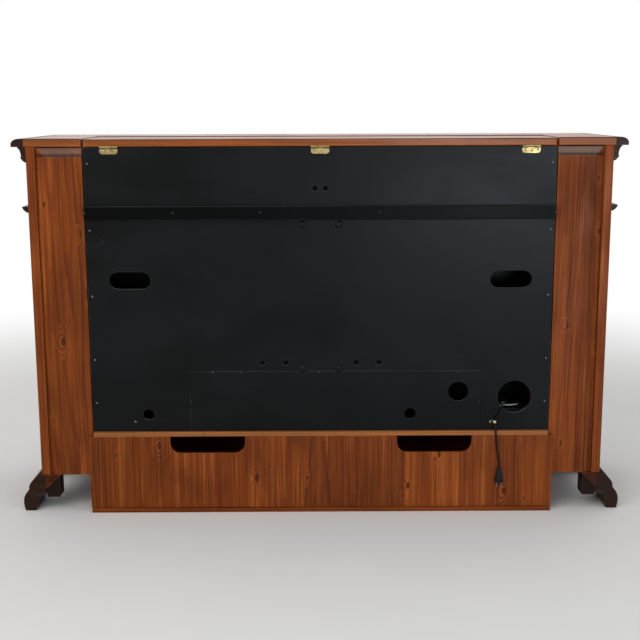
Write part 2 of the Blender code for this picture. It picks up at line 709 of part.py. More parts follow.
def make_door_hinge(name, side):
    """A long hinge: its leaf is screwed to the face frame, and the door turns on its barrel."""
    low = DOOR_MIDDLE_Z - DOOR_HINGE_LENGTH / 2
    high = low + DOOR_HINGE_LENGTH
    leaf_x = span(side, DOOR_HINGE_X, DOOR_HINGE_X + DOOR_LEAF_WIDTH)
    leaf_y = CARCASS_DEPTH + FIT
    hinge = place(name, block(*leaf_x, leaf_y, leaf_y + DOOR_LEAF_THICK, low, high), BRASS, CABINET)
    x = side * DOOR_HINGE_X
    add(hinge, rod((x, DOOR_HINGE_Y, low), (x, DOOR_HINGE_Y, high), DOOR_HINGE_RADIUS, 12))


# Feet
def foot_profile():
    """The scrolled outline of a bracket foot, as reach from the carcass and height."""
    seat = CARCASS_BOTTOM - FIT
    scroll = [
        (FIT, FOOT_TOP), (FOOT_SHOULDER, FOOT_SHOULDER_Z),
        (FOOT_NECK, FOOT_NECK_Z), (FOOT_SCROLL, FOOT_SCROLL_Z),
        (FOOT_REACH, FOOT_BULGE_Z + FOOT_BULGE_HALF), (FOOT_REACH, FOOT_BULGE_Z - FOOT_BULGE_HALF),
        (FOOT_TOE, 0), (FOOT_HEEL, 0),
    ]
    inside = [(FOOT_INSIDE, FOOT_EASE), (FOOT_INSIDE, FOOT_STEP_Z), (-FOOT_UNDERLAP, FOOT_STEP_Z),
              (-FOOT_UNDERLAP, seat), (FIT, seat)]
    return scroll + inside


def make_feet():
    front = CARCASS_DEPTH
    paths = {
        "rear_left": [(-END_X, 0), (-END_X, FOOT_LENGTH)],
        "rear_right": [(END_X, FOOT_LENGTH), (END_X, 0)],
        "front_left": [(-END_X, front - FOOT_LENGTH), (-END_X, front), (-END_X + FOOT_LENGTH, front)],
        "front_right": [(END_X - FOOT_LENGTH, front), (END_X, front), (END_X, front - FOOT_LENGTH)],
    }
    for name, path in paths.items():
        place(f"{name}_foot", swept(foot_profile(), path), DARK, CABINET)
    top = CARCASS_BOTTOM - FIT
    outer = END_X - FOOT_UNDERLAP - FIT
    for name, side in SIDES:
        corners = [(outer, top), (outer, top - BRACE_DROP), (outer - BRACE_WIDTH, top)]
        outline = [(side * x, z) for x, z in corners]
        brace = place(f"{name}_foot_brace", front_plate(outline, 0, BRACE_THICK), PINE, CABINET)
        block_x = span(side, outer - BLOCK_WIDTH, outer)
        add(brace, block(*block_x, BLOCK_BACK, BLOCK_BACK + BLOCK_DEPTH, top - BLOCK_DROP, top))


# Lid and its hinges
def make_lid(axis):
    place("lid", block(-LID_X, LID_X, 0, LID_DEPTH, CARCASS_TOP, TOP_SURFACE - LID_SINK), PINE, axis)
    for name, x in (("left", -HINGE_X), ("centre", 0), ("right", HINGE_X)):
        make_lower_leaf(f"{name}_hinge_lower_leaf", x)
        make_upper_leaf(f"{name}_hinge_upper_leaf", x, axis)


def knuckle(x0, x1, radius):
    return rod((x0, HINGE_Y, HINGE_Z), (x1, HINGE_Y, HINGE_Z), radius, 16)


def make_lower_leaf(name, x):
    """The leaf on the back panel, with the two outer knuckles and the pin."""
    half = HINGE_WIDTH / 2
    third = HINGE_WIDTH / 6
    y0, y1 = -(HINGE_LEAF_THICK + FIT), -FIT
    under = HINGE_Z - HINGE_KNUCKLE - SLIDE_FIT
    shape = block(x - half, x + half, y0, y1, HINGE_Z - HINGE_LEAF_HEIGHT, under)
    leaf = place(name, shape, BRASS, CABINET)
    for inner, outer in ((-third, -half), (third, half)):
        x0, x1 = sorted((x + inner, x + outer))
        add(leaf, block(x0, x1, y0, -SLIDE_FIT, under - HINGE_KNUCKLE, HINGE_Z))
        add(leaf, knuckle(x0, x1, HINGE_KNUCKLE))
    add(leaf, knuckle(x - half + third, x + half - third, HINGE_PIN))


def make_upper_leaf(name, x, axis):
    """The leaf under the lid, with the middle knuckle round the pin."""
    half = HINGE_WIDTH / 2
    third = HINGE_WIDTH / 6 - FIT
    top = CARCASS_TOP - FIT
    low = top - HINGE_LEAF_THICK
    leaf = place(name, block(x - half, x + half, FIT, HINGE_UNDER_LEAF, low, top), BRASS, axis)
    add(leaf, block(x - third, x + third, HINGE_Y, 2 * FIT, low, top))
    add(leaf, knuckle(x - third, x + third, HINGE_KNUCKLE))
    cut(leaf, knuckle(x - half, x + half, HINGE_BORE))


# Lift
def make_column():
    half = COLUMN_WIDTH / 2
    wing_low = LOWER_BORE_Z - COLUMN_WING_HEIGHT / 2
    wing_high = wing_low + COLUMN_WING_HEIGHT
    right = [
        (half, WELL_BOTTOM), (half, wing_low), (COLUMN_WING_SPAN, wing_low), (COLUMN_WING_SPAN, wing_high),
        (half, wing_high), (half, COLUMN_TOP), (COLUMN_STRAP_HALF, COLUMN_TOP),
        (COLUMN_STRAP_HALF, COLUMN_STRAP_TOP),
    ]
    outline = right + [(-x, z) for x, z in reversed(right)]
    column = place("lift_column", front_plate(outline, COLUMN_Y, COLUMN_Y + COLUMN_WALL), STEEL, CABINET)
    for _, side in SIDES:
        add(column, block(*span(side, half - COLUMN_WALL, half), COLUMN_Y + COLUMN_WALL / 2, RAILS_FRONT,
                          WELL_BOTTOM, COLUMN_TOP))
    cut(column, *[through(x, z, BOLT_SHANK + FIT) for x, z in BOLT_PLACES])


def make_bolts():
    dome = [(BOLT_HEAD * c, BOLT_DOME * s) for c, s in arc((0, 0), 1, 0, 90, 4)]
    profile = [(0, -BOLT_LENGTH), (BOLT_SHANK, -BOLT_LENGTH), (BOLT_SHANK, 0)] + dome
    names = ("upper_left", "upper_right", "lower_left", "lower_right")
    for name, (x, z) in zip(names, BOLT_PLACES):
        smooth(place(f"lift_bolt_{name}", turned(profile, (x, -FIT, z), (0, -1, 0), 12), STEEL, CABINET))


def make_middle_frame(axis):
    yoke_end = ACTUATOR_X + ACTUATOR_RADIUS
    yoke_top = YOKE_BOTTOM + YOKE_THICK
    yoke = block(-MIDDLE_OUT, yoke_end, RAILS_Y, RAILS_FRONT, YOKE_BOTTOM, yoke_top)
    frame = place("lift_middle_frame", yoke, STEEL, axis)
    overlap = YOKE_THICK / 2
    for _, side in SIDES:
        add(frame, block(*span(side, MIDDLE_IN, MIDDLE_OUT), RAILS_Y, RAILS_FRONT,
                         MIDDLE_BOTTOM, YOKE_BOTTOM + overlap))
    add(frame, block(-MIDDLE_IN - overlap, MIDDLE_IN + overlap, RAILS_Y, RAILS_FRONT,
                     MIDDLE_BOTTOM, MIDDLE_BOTTOM + YOKE_THICK))
    smooth(place("actuator_rod", upright(ACTUATOR_X, ROD_BOTTOM, YOKE_BOTTOM - FIT, ROD_RADIUS), STEEL, axis))


def upright(x, low, high, radius):
    """A round bar standing in line with the actuator."""
    return rod((x, ACTUATOR_Y, low), (x, ACTUATOR_Y, high), radius, 20)


def make_actuator():
    left = ACTUATOR_X - ACTUATOR_RADIUS - GEARBOX_WALL
    gearbox = block(left, left + GEARBOX_WIDTH, COLUMN_Y + FIT, ACTUATOR_Y + ACTUATOR_RADIUS,
                    WELL_BOTTOM, GEARBOX_TOP)
    housing = place("actuator_housing", gearbox, DARK_STEEL, CABINET)
    inside = GEARBOX_TOP - ACTUATOR_RADIUS
    add(housing, upright(ACTUATOR_X, inside, ACTUATOR_TOP, ACTUATOR_RADIUS))
    add(housing, upright(ACTUATOR_X + MOTOR_OFFSET, inside, MOTOR_TOP, ACTUATOR_RADIUS))
    cut(housing, upright(ACTUATOR_X, ROD_BOTTOM - FIT, ACTUATOR_TOP + ROD_RADIUS, ROD_RADIUS + FIT))


def make_carriage(axis):
    slider_x = MIDDLE_IN - SLIDE_FIT
    plate_top = CARRIAGE_BOTTOM + CARRIAGE_PLATE_HEIGHT
    overlap = CARRIAGE_PLATE_THICK / 2
    plate = block(-CARRIAGE_PLATE_HALF, CARRIAGE_PLATE_HALF, CARRIAGE_Y, CROSSBAR_Y,
                  CARRIAGE_BOTTOM, plate_top)
    carriage = place("lift_carriage", plate, STEEL, axis)
    add(carriage, block(-slider_x, slider_x, RAILS_Y, CARRIAGE_Y + overlap,
                        CARRIAGE_BOTTOM + overlap, CARRIAGE_BOTTOM + SLIDER_HEIGHT))
    for z in (LOWER_CROSSBAR_Z, UPPER_CROSSBAR_Z):
        low = z - CROSSBAR_HEIGHT / 2
        add(carriage, block(-CROSSBAR_HALF, CROSSBAR_HALF, CROSSBAR_Y - overlap, CROSSBAR_Y + CROSSBAR_THICK,
                            low, low + CROSSBAR_HEIGHT))
    for name, side in SIDES:
        arm_x = span(side, TV_ARM_X - TV_ARM_WIDTH / 2, TV_ARM_X + TV_ARM_WIDTH / 2)
        arm = block(*arm_x, TV_ARM_Y, TV_ARM_Y + TV_ARM_THICK, TV_ARM_BOTTOM, TV_ARM_BOTTOM + TV_ARM_HEIGHT)
        place(f"{name}_tv_arm", arm, STEEL, axis)


# Control box, coil, cord, clip and plug
def make_control_box():
    box = place("control_box", block(BOX_LEFT, BOX_LEFT + BOX_WIDTH, BOX_BACK, BOX_BACK + BOX_DEPTH,
                                     WELL_BOTTOM, BOX_TOP), PLASTIC, CABINET)
    start = coil_points()[0]
    reach = 3 * CORD_RADIUS
    side = CORD_RADIUS + 4 * FIT
    add(box, block(start.x - side, start.x + side, start.y - FIT - reach, start.y - FIT,
                   BOX_TOP - CORD_RADIUS, start.z + CORD_RADIUS))


def coil_points():
    """The cord's coil: it winds in along the lower layer and out along the upper one."""
    turns = 2 * COIL_TURNS_PER_LAYER + 0.5
    layer = 2 * CORD_RADIUS + 2 * FIT
    low = BOX_TOP + FIT + CORD_RADIUS
    outer = COIL_RADIUS + COIL_PITCH * COIL_TURNS_PER_LAYER / 2
    points = []
    for step in range(int(turns * COIL_STEPS) + 1):
        turn = step / COIL_STEPS
        inward = COIL_TURNS_PER_LAYER - abs(turn - COIL_TURNS_PER_LAYER)
        radius = outer - COIL_PITCH * inward
        climb = min(max((turn - COIL_TURNS_PER_LAYER) * 2 + 0.5, 0), 1)
        angle = 2 * math.pi * turn
        points.append(Vector((COIL_X + radius * math.cos(angle), COIL_Y + radius * math.sin(angle),
                              low + layer * climb)))
    tail = 6 * CORD_RADIUS
    points.insert(0, points[0] - Vector((0, tail, 0)))
    points.append(points[-1] - Vector((0, 2 * CORD_RADIUS, 0)))
    return points


def print_coil_gap(points):
    near = COIL_STEPS // 2
    least = min((a - b).length for i, a in enumerate(points) for b in points[i + near:])
    print(f"least gap between the coil's turns: {(least - 2 * CORD_RADIUS) * 1000:.2f} mm")
    print(f"length of the coil: {sum((b - a).length for a, b in zip(points, points[1:])):.3f} m")


def by_hole(aside, y, z):
    """A point on the cord's way, placed sideways from the middle of the lead hole."""
    return Vector((LEAD_HOLE_X + aside, y, z))


def cord_route():
    """The free cord's way: off the coil, out of the lead hole, through the clip and down to the plug."""
    start = coil_points()[-1] - Vector((0, FIT, 0))
    saddle = Vector((CLIP_X, CORD_ON_PANEL, CLIP_Z))
    end = Vector((PLUG_X, plug_y(), PLUG_TOP + FIT))
    return [
        start,
        start + Vector((0.0005, -0.012, 0.0005)),
        by_hole(-0.0496, 0.0540, 0.3045),
        by_hole(-0.0416, 0.0340, 0.3085),
        by_hole(-0.0356, 0.0160, 0.3118),
        by_hole(-0.0336, 0.0020, 0.3110),
        by_hole(-0.0361, -0.0085, 0.3030),
        by_hole(-0.0411, -0.0105, 0.2920),
        by_hole(-0.0496, -0.0062, 0.2790),
        saddle + Vector((0.0008, -0.0002, 0.006)),
        saddle,
        saddle + Vector((0.0005, -0.0012, -0.007)),
        by_hole(-0.0541, -0.0095, 0.2500),
        by_hole(-0.0533, -0.0152, 0.2400),
        by_hole(-0.0525, -0.0182, 0.2270),
        by_hole(-0.0505, -0.0185, 0.2050),
        by_hole(-0.0477, -0.0190, 0.1800),
        by_hole(-0.0433, -0.0200, 0.1560),
        end + Vector((0, 0, 0.012)),
        end,
    ]


def plug_y():
    return BASE_FACE - PLUG_DEPTH / 2 - 3 * FIT


def smooth_route(route, count):
    """Points on a smooth curve through a route's own points."""
    ends = [2 * route[0] - route[1]] + route + [2 * route[-1] - route[-2]]
    points = []
    for step in range(count + 1):
        place_on = step / count * (len(route) - 1)
        index = min(int(place_on), len(route) - 2)
        t = place_on - index
        a, b, c, d = ends[index:index + 4]
        points.append(b + (c - a) * t / 2 + (2 * a - 5 * b + 4 * c - d) * t ** 2 / 2
                      + (3 * b - a - 3 * c + d) * t ** 3 / 2)
    return points


def tube(name, points, roundness):
    curve = bpy.data.curves.new(name, "CURVE")
    curve.dimensions = "3D"
    curve.bevel_depth = CORD_RADIUS
    curve.bevel_resolution = roundness
    curve.use_fill_caps = True
    spline = curve.splines.new("POLY")
    spline.points.add(len(points) - 1)
    for place_on, point in zip(spline.points, points):
        place_on.co = (*point, 1.0)
    curve.materials.append(RUBBER)
    obj = bpy.data.objects.new(name, curve)
    obj.parent = CABINET
    bpy.context.collection.objects.link(obj)


def make_clip():
    """A saddle over the cord, with a tab that its screw holds."""
    inner = CORD_RADIUS + 2 * FIT
    outer = inner + CLIP_WALL
    centre = (CLIP_X, CORD_ON_PANEL)
    tab_y = -FIT - CLIP_WALL
    tab_x = CLIP_X - outer - CLIP_TAB
    outline = [(tab_x, -FIT), (tab_x, tab_y), (CLIP_X - outer, tab_y)]
    outline += arc(centre, outer, 180, 360, 10)
    outline += [(CLIP_X + outer, -FIT), (CLIP_X + inner, -FIT)]
    outline += arc(centre, inner, 360, 180, 10)
    outline += [(CLIP_X - inner, -FIT)]
    low = CLIP_Z - CLIP_LENGTH / 2
    place("cord_clip", flat_plate(outline, low, low + CLIP_LENGTH), PLASTIC, CABINET)


def make_plug():
    y = plug_y()
    body_top = PLUG_TOP - PLUG_COLLAR_LENGTH
    body_low = body_top - PLUG_BODY_LENGTH
    half = PLUG_WIDTH / 2
    right = [(PLUG_NECK, PLUG_TOP), (PLUG_SHOULDER, body_top), (half, body_low)]
    outline = [(PLUG_X + x, z) for x, z in right] + [(PLUG_X - x, z) for x, z in reversed(right)]
    depth = PLUG_DEPTH / 2
    plug = place("plug", front_plate(outline, y - depth, y + depth), PLASTIC, CABINET)
    for side in (-1, 1):
        x = PLUG_X + side * BLADE_SPACING / 2
        add(plug, block(x - BLADE_THICK / 2, x + BLADE_THICK / 2, y - BLADE_WIDTH / 2, y + BLADE_WIDTH / 2,
                        body_low - BLADE_LENGTH, body_low + BLADE_THICK))


# Building
PINE = finish("stained_pine", (0.26, 0.085, 0.028), 0.40)
DARK = finish("dark_stain", (0.045, 0.020, 0.012), 0.35)
BLACK = finish("black_paint", (0.012, 0.013, 0.014), 0.45)
BRASS = finish("brass", (0.60, 0.45, 0.18), 0.30, 1.0)
STEEL = finish("steel", (0.35, 0.35, 0.36), 0.35, 1.0)
DARK_STEEL = finish("dark_steel", (0.05, 0.05, 0.055), 0.45, 0.6)
PLASTIC = finish("black_plastic", (0.02, 0.02, 0.022), 0.50)
RUBBER = finish("cord_sheath", (0.012, 0.012, 0.013), 0.45)

CABINET = stage("cabinet_frame", (0, BACK_Y, 0))
make_ends_and_partitions()
make_well_and_base()
make_top()
make_mouldings()
make_back_panels()
make_access_cover()
make_face_frame()
make_doors()
make_feet()
make_lid(stage("lid_axis", (0, HINGE_Y, HINGE_Z), CABINET))
make_column()
make_bolts()
make_middle_frame(stage("middle_stage", (0, RAILS_Y, MIDDLE_BOTTOM), CABINET))
make_actuator()
make_carriage(stage("carriage_stage", (0, CARRIAGE_Y, CARRIAGE_BOTTOM), CABINET))
make_control_box()
tube("power_cord_coil", coil_points(), 1)
print_coil_gap(coil_points())
tube("power_cord", smooth_route(cord_route(), CORD_POINTS), 2)
make_clip()
make_plug()
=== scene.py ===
# %% [markdown]
# # A cabinet with a television lift, seen from behind
#
# The cabinet is stained pine with black panels over the lift. It stands with its back to us, because the
# back is where the cord, the hinges and the access cover are. The solid model gives every piece its place
# and its motion. Here we give each surface its finish, and model again the pieces whose curves and small
# parts deserve a finer mesh.
#
# First we load the solid model. Each of its pieces is one object, which we may dress but never move.

# %% Load the frame
import math
from types import SimpleNamespace

import bmesh
import bpy
from mathutils import Matrix, Vector


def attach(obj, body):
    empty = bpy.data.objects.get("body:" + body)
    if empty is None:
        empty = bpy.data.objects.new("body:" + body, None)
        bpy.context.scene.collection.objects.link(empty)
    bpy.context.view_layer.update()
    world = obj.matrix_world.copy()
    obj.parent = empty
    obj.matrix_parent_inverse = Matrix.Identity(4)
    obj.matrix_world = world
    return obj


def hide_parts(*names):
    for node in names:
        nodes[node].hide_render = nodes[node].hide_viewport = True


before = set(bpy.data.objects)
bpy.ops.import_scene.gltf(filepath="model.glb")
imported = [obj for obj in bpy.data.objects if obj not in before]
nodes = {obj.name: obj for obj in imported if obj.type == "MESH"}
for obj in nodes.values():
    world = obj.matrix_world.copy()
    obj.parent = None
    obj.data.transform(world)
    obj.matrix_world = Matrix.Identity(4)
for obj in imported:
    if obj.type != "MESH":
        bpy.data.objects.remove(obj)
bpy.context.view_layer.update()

# %% [markdown]
# The photographer stood a little over three metres behind the cabinet, with the camera just above the top
# and tipped down about eleven degrees. A long lens keeps the upright edges nearly parallel.
# We build the camera's three directions ourselves, so that its small roll comes last and stays readable.

# %% Camera
BACK = -0.2326
CAMERA_PLACE = (-0.0158, BACK - 3.114, 1.159)
camera_data = bpy.data.cameras.new("camera")
camera_data.lens = 62.97
camera_data.sensor_width = 36.0
camera = bpy.data.objects.new("camera", camera_data)
bpy.context.collection.objects.link(camera)
bpy.context.scene.camera = camera

pitch, yaw, roll = math.radians(10.827), math.radians(0.258), math.radians(-0.192)
ahead = Vector((math.sin(yaw) * math.cos(pitch), math.cos(yaw) * math.cos(pitch), -math.sin(pitch)))
level = Vector((math.cos(yaw), -math.sin(yaw), 0))
upright = level.cross(ahead)
right = level * math.cos(roll) + upright * math.sin(roll)
above = upright * math.cos(roll) - level * math.sin(roll)
turn = Matrix((right, above, -ahead)).transposed().to_4x4()
camera.matrix_world = Matrix.Translation(CAMERA_PLACE) @ turn
print("camera looks along", [round(a, 3) for a in ahead])

# %% [markdown]
# The lead is a thin mains cord. It leaves a small box inside the cabinet, lies in a coil on top of it, comes
# out through the big round hole, passes under a clip and hangs to its plug.
# A coil that is wound in along one layer and out along the next needs no crossing. We can write it as one
# formula: the angle runs on steadily while the radius shrinks, and then grows again.

# %% Way of the lead
LEAD_RADIUS = 0.0026
COIL_MIDDLE = Vector((0.545, 0.090, 0.2957))
COIL_RADIUS = 0.0415
TURN_PITCH = 0.006
LAYER_TURNS = 3.5
LAYER_HEIGHT = 0.0058
TURNS = 7.5
STEPS = 24


def coil_point(turn):
    inward = LAYER_TURNS - abs(turn - LAYER_TURNS)
    radius = COIL_RADIUS - TURN_PITCH * inward
    climb = LAYER_HEIGHT * min(max((turn - LAYER_TURNS) * 2 + 0.5, 0), 1)
    angle = 2 * math.pi * turn
    return COIL_MIDDLE + Vector((radius * math.cos(angle), radius * math.sin(angle), climb))


coil = [coil_point(step / STEPS) for step in range(int(TURNS * STEPS) + 1)]
leaving = coil[0] - Vector((0, 6 * LEAD_RADIUS, 0))
free = [Vector(point) for point in (
    (0.5005, 0.0845, 0.3015), (0.5010, 0.0725, 0.3020), (0.5060, 0.0540, 0.3045),
    (0.5140, 0.0340, 0.3085), (0.5200, 0.0160, 0.3118), (0.5220, 0.0020, 0.3110),
    (0.5195, -0.0085, 0.3030), (0.5145, -0.0105, 0.2920), (0.5060, -0.0062, 0.2790),
    (0.5013, -0.0037, 0.2700), (0.5005, -0.0035, 0.2640), (0.5010, -0.0047, 0.2570),
    (0.5015, -0.0095, 0.2500), (0.5023, -0.0152, 0.2400), (0.5031, -0.0182, 0.2270),
    (0.5051, -0.0185, 0.2050), (0.5079, -0.0190, 0.1800), (0.5123, -0.0200, 0.1560),
    (0.5143, -0.0207, 0.1458), (0.5143, -0.0207, 0.1338),
)]
way = [point + Vector((0, BACK, 0)) for point in [leaving] + coil + free]

# %% [markdown]
# Materials are built from a few small helpers, one for each kind of shader node that we use often.
# A helper takes plain numbers or the output of another node, so a recipe reads from top to bottom. Every
# output knows which tree of nodes it belongs to, and the helper adds its own node to that tree.

# %% Helpers for shader nodes
def blank(name):
    material = bpy.data.materials.new(name)
    material.use_nodes = True
    return material, material.node_tree, material.node_tree.nodes["Principled BSDF"]


def feed(value, socket):
    if isinstance(value, bpy.types.NodeSocket):
        socket.id_data.links.new(value, socket)
    else:
        socket.default_value = value


def beside(kind, *values):
    """A new node in the tree of the first value that is another node's output."""
    tree = next(value.id_data for value in values if isinstance(value, bpy.types.NodeSocket))
    return tree.nodes.new(f"ShaderNode{kind}")


def calc(operation, first, second=0.0):
    node = beside("Math", first, second)
    node.operation = operation
    feed(first, node.inputs[0])
    feed(second, node.inputs[1])
    return node.outputs[0]


def times(first, second):
    return calc("MULTIPLY", first, second)


def plus(first, second):
    return calc("ADD", first, second)


def less(first, second):
    return calc("SUBTRACT", first, second)


def position(tree):
    return tree.nodes.new("ShaderNodeTexCoord").outputs["Object"]


def parted(value, kind="XYZ"):
    """The three numbers of a vector, or of a colour where kind says so."""
    node = beside(f"Separate{kind}", value)
    feed(value, node.inputs[0])
    return node.outputs


def facing_up(tree):
    """1 where the surface faces the ceiling, 0 where it is upright."""
    return parted(tree.nodes.new("ShaderNodeNewGeometry").outputs["Normal"])["Z"]


def joined(*values):
    node = beside("CombineXYZ", *values)
    for value, socket in zip(values, node.inputs):
        feed(value, socket)
    return node.outputs[0]


def stretched(vector, scale, shift=(0, 0, 0)):
    node = beside("Mapping", vector)
    feed(vector, node.inputs["Vector"])
    node.inputs["Scale"].default_value = scale
    node.inputs["Location"].default_value = shift
    return node.outputs[0]


def cloud(vector, scale, detail=3.0, swirl=0.0):
    node = beside("TexNoise", vector)
    feed(vector, node.inputs["Vector"])
    node.inputs["Scale"].default_value = scale
    node.inputs["Detail"].default_value = detail
    node.inputs["Distortion"].default_value = swirl
    return node.outputs["Fac"]


def streaks(vector, scale, detail=3.0, swirl=0.0):
    """A cloud with its own scale in each direction."""
    return cloud(stretched(vector, scale), 1.0, detail, swirl)


def cells(vector, dimensions="3D", feature="F1"):
    """Scattered spots: the distance to the nearest, or to the border between two."""
    node = beside("TexVoronoi", vector)
    node.voronoi_dimensions = dimensions
    node.feature = feature
    node.inputs["Scale"].default_value = 1.0
    feed(vector, node.inputs["Vector"])
    return node.outputs


def dice(number):
    """A throw that is the same wherever the number is the same."""
    node = beside("TexWhiteNoise", number)
    node.noise_dimensions = "1D"
    feed(number, node.inputs["W"])
    return node.outputs


def remap(value, low, high, new_low, new_high, smooth=True):
    node = beside("MapRange", value)
    node.interpolation_type = "SMOOTHSTEP" if smooth else "LINEAR"
    feed(value, node.inputs["Value"])
    for socket, number in zip(("From Min", "From Max", "To Min", "To Max"), (low, high, new_low, new_high)):
        node.inputs[socket].default_value = number
    return node.outputs[0]


def ramp(value, stops):
    node = beside("ValToRGB", value)
    feed(value, node.inputs[0])
    while len(node.color_ramp.elements) < len(stops):
        node.color_ramp.elements.new(1.0)
    for element, (place, colour) in zip(node.color_ramp.elements, stops):
        element.position = place
        element.color = (*colour, 1.0)
    return node.outputs[0]


def mix(amount, first, second, way="MIX"):
    node = beside("Mix", amount, first, second)
    node.data_type = "RGBA"
    node.blend_type = way
    feed(amount, node.inputs[0])
    for value, socket in ((first, node.inputs[6]), (second, node.inputs[7])):
        feed(value if isinstance(value, bpy.types.NodeSocket) else (*value, 1.0), socket)
    return node.outputs[2]


def coat(shader, colour, roughness, shine):
    feed(colour, shader.inputs["Base Color"])
    feed(roughness, shader.inputs["Roughness"])
    shader.inputs["Specular IOR Level"].default_value = shine


def relief(shader, height, distance, strength):
    node = beside("Bump", height)
    node.inputs["Strength"].default_value = strength
    node.inputs["Distance"].default_value = distance
    feed(height, node.inputs["Height"])
    feed(node.outputs[0], shader.inputs["Normal"])


def edge_wear(tree, radius):
    """Near 1 along an edge and 0 on a flat face: a rounded normal leaves the true one only beside an edge."""
    rounded = tree.nodes.new("ShaderNodeBevel")
    rounded.samples = 4
    rounded.inputs["Radius"].default_value = radius
    dot = tree.nodes.new("ShaderNodeVectorMath")
    dot.operation = "DOT_PRODUCT"
    feed(rounded.outputs[0], dot.inputs[0])
    feed(tree.nodes.new("ShaderNodeNewGeometry").outputs["Normal"], dot.inputs[1])
    return remap(dot.outputs["Value"], 0.995, 0.90, 0.0, 1.0)


# %% [markdown]
# Pine boards are sawn from a round trunk. If we keep the trunk in the recipe, the grain looks after itself:
# the distance from the trunk's heart, cut into yearly rings, gives straight lines where the board cuts the
# rings steeply and pointed arches where it skims them. A wide panel is glued from staves, so each stave gets
# its own heart. Knots push the rings aside.
# The word `order` says which directions of the cabinet run across the board, into it and along it. A frame
# has boards both ways: `upright_beyond` gives the middle of its rails, from the cabinet's centre, and half
# their length, and past that the grain stands upright.

# %% Staves, rings and knots
RINGS_PER_METRE = 230.0
KNOT_SPREAD = (11.0, 5.0, 1.0)


def pine_grain(tree, order, stave, seed, upright_beyond):
    axis = dict(zip("xyz", parted(position(tree))))
    across, into, along = (axis[letter] for letter in order)
    if upright_beyond:
        middle, half = upright_beyond
        aside = calc("ABSOLUTE", less(calc("ABSOLUTE", axis["x"]), middle))
        stile = calc("GREATER_THAN", aside, half)
        rail = less(1.0, stile)
        across = plus(times(axis["x"], stile), times(across, rail))
        along = plus(times(axis["z"], stile), times(along, rail))

    column = calc("FLOOR", calc("DIVIDE", plus(across, 0.031 + seed * 0.017), stave))
    red, green, blue = parted(dice(plus(column, seed))["Color"], "Color")
    heart = times(plus(column, times(red, 1.2)), stave)
    side = less(across, heart)
    lean = times(less(blue, 0.5), 0.075)
    deep = plus(plus(into, times(along, lean)), plus(times(green, 0.05), 0.02))
    along = plus(along, times(green, 7.0))
    board = joined(across, into, along)

    knots = cells(stretched(joined(across, along), KNOT_SPREAD, (seed, 0.3, 0)), "2D")
    size = remap(parted(knots["Color"], "Color")[0], 0.2, 1.0, 0.20, 1.10)
    near = calc("DIVIDE", knots["Distance"], size)

    ring = calc("SQRT", plus(times(side, side), times(deep, deep)))
    wobble = times(less(streaks(board, (8, 8, 1.3), 2.0), 0.5), 0.022)
    ring = plus(plus(ring, wobble), remap(near, 0.02, 0.28, 0.0120, 0.0))
    years = times(ring, RINGS_PER_METRE)
    year = calc("FRACT", years)
    late = times(remap(year, 0.40, 0.90, 0.0, 1.0), remap(year, 0.92, 1.0, 1.0, 0.0))
    weight = dice(calc("FLOOR", years))["Value"]
    late = times(late, remap(weight, 0.0, 1.0, 0.10, 0.68))
    return SimpleNamespace(axis=axis, board=board, lot=red, near=near, year=year, late=late)


# %% [markdown]
# Stain takes differently everywhere: the dense wood that grows late in a year ends darkest, the fibres drink
# in streaks, some staves turn out darker than others, and round a knot the wood stays light. So the colour is
# laid on in many thin layers, most of them with a cloud of their own scale.
# Wear and painted light come last. `raw` lets bare wood show through, `dust_and_sheen` greys what leans
# upward, which on the raised panels' bevels is a painted sheen, and `rim` is the colour of rubbed edges. The
# dark of
# `dark_between` gathers between two places along one direction, as in a step, and as painted shade at a seam
# and under the base, and `arris` is the dark line along the eased edge of a top.

# %% Stained pine
PINE_EARLY = (0.262, 0.062, 0.0100)
PINE_MIDDLE = (0.200, 0.043, 0.0060)
PINE_LATE = (0.100, 0.019, 0.0030)
PINE_STREAK = (0.400, 0.118, 0.0220)
PINE_KNOT = (0.030, 0.007, 0.0020)
PINE_RAW = (0.520, 0.270, 0.1000)
PINE_DARK_AND_SHADE = (0.008, 0.004, 0.0030)
PINE_PAINTED_SHEEN = (0.200, 0.165, 0.1400)
SMUDGE_TONES = [(0.30, (0.74, 0.68, 0.65)), (0.52, (1.0, 1.0, 1.0)), (0.74, (1.12, 1.13, 1.14))]
CRISP = 0.0003


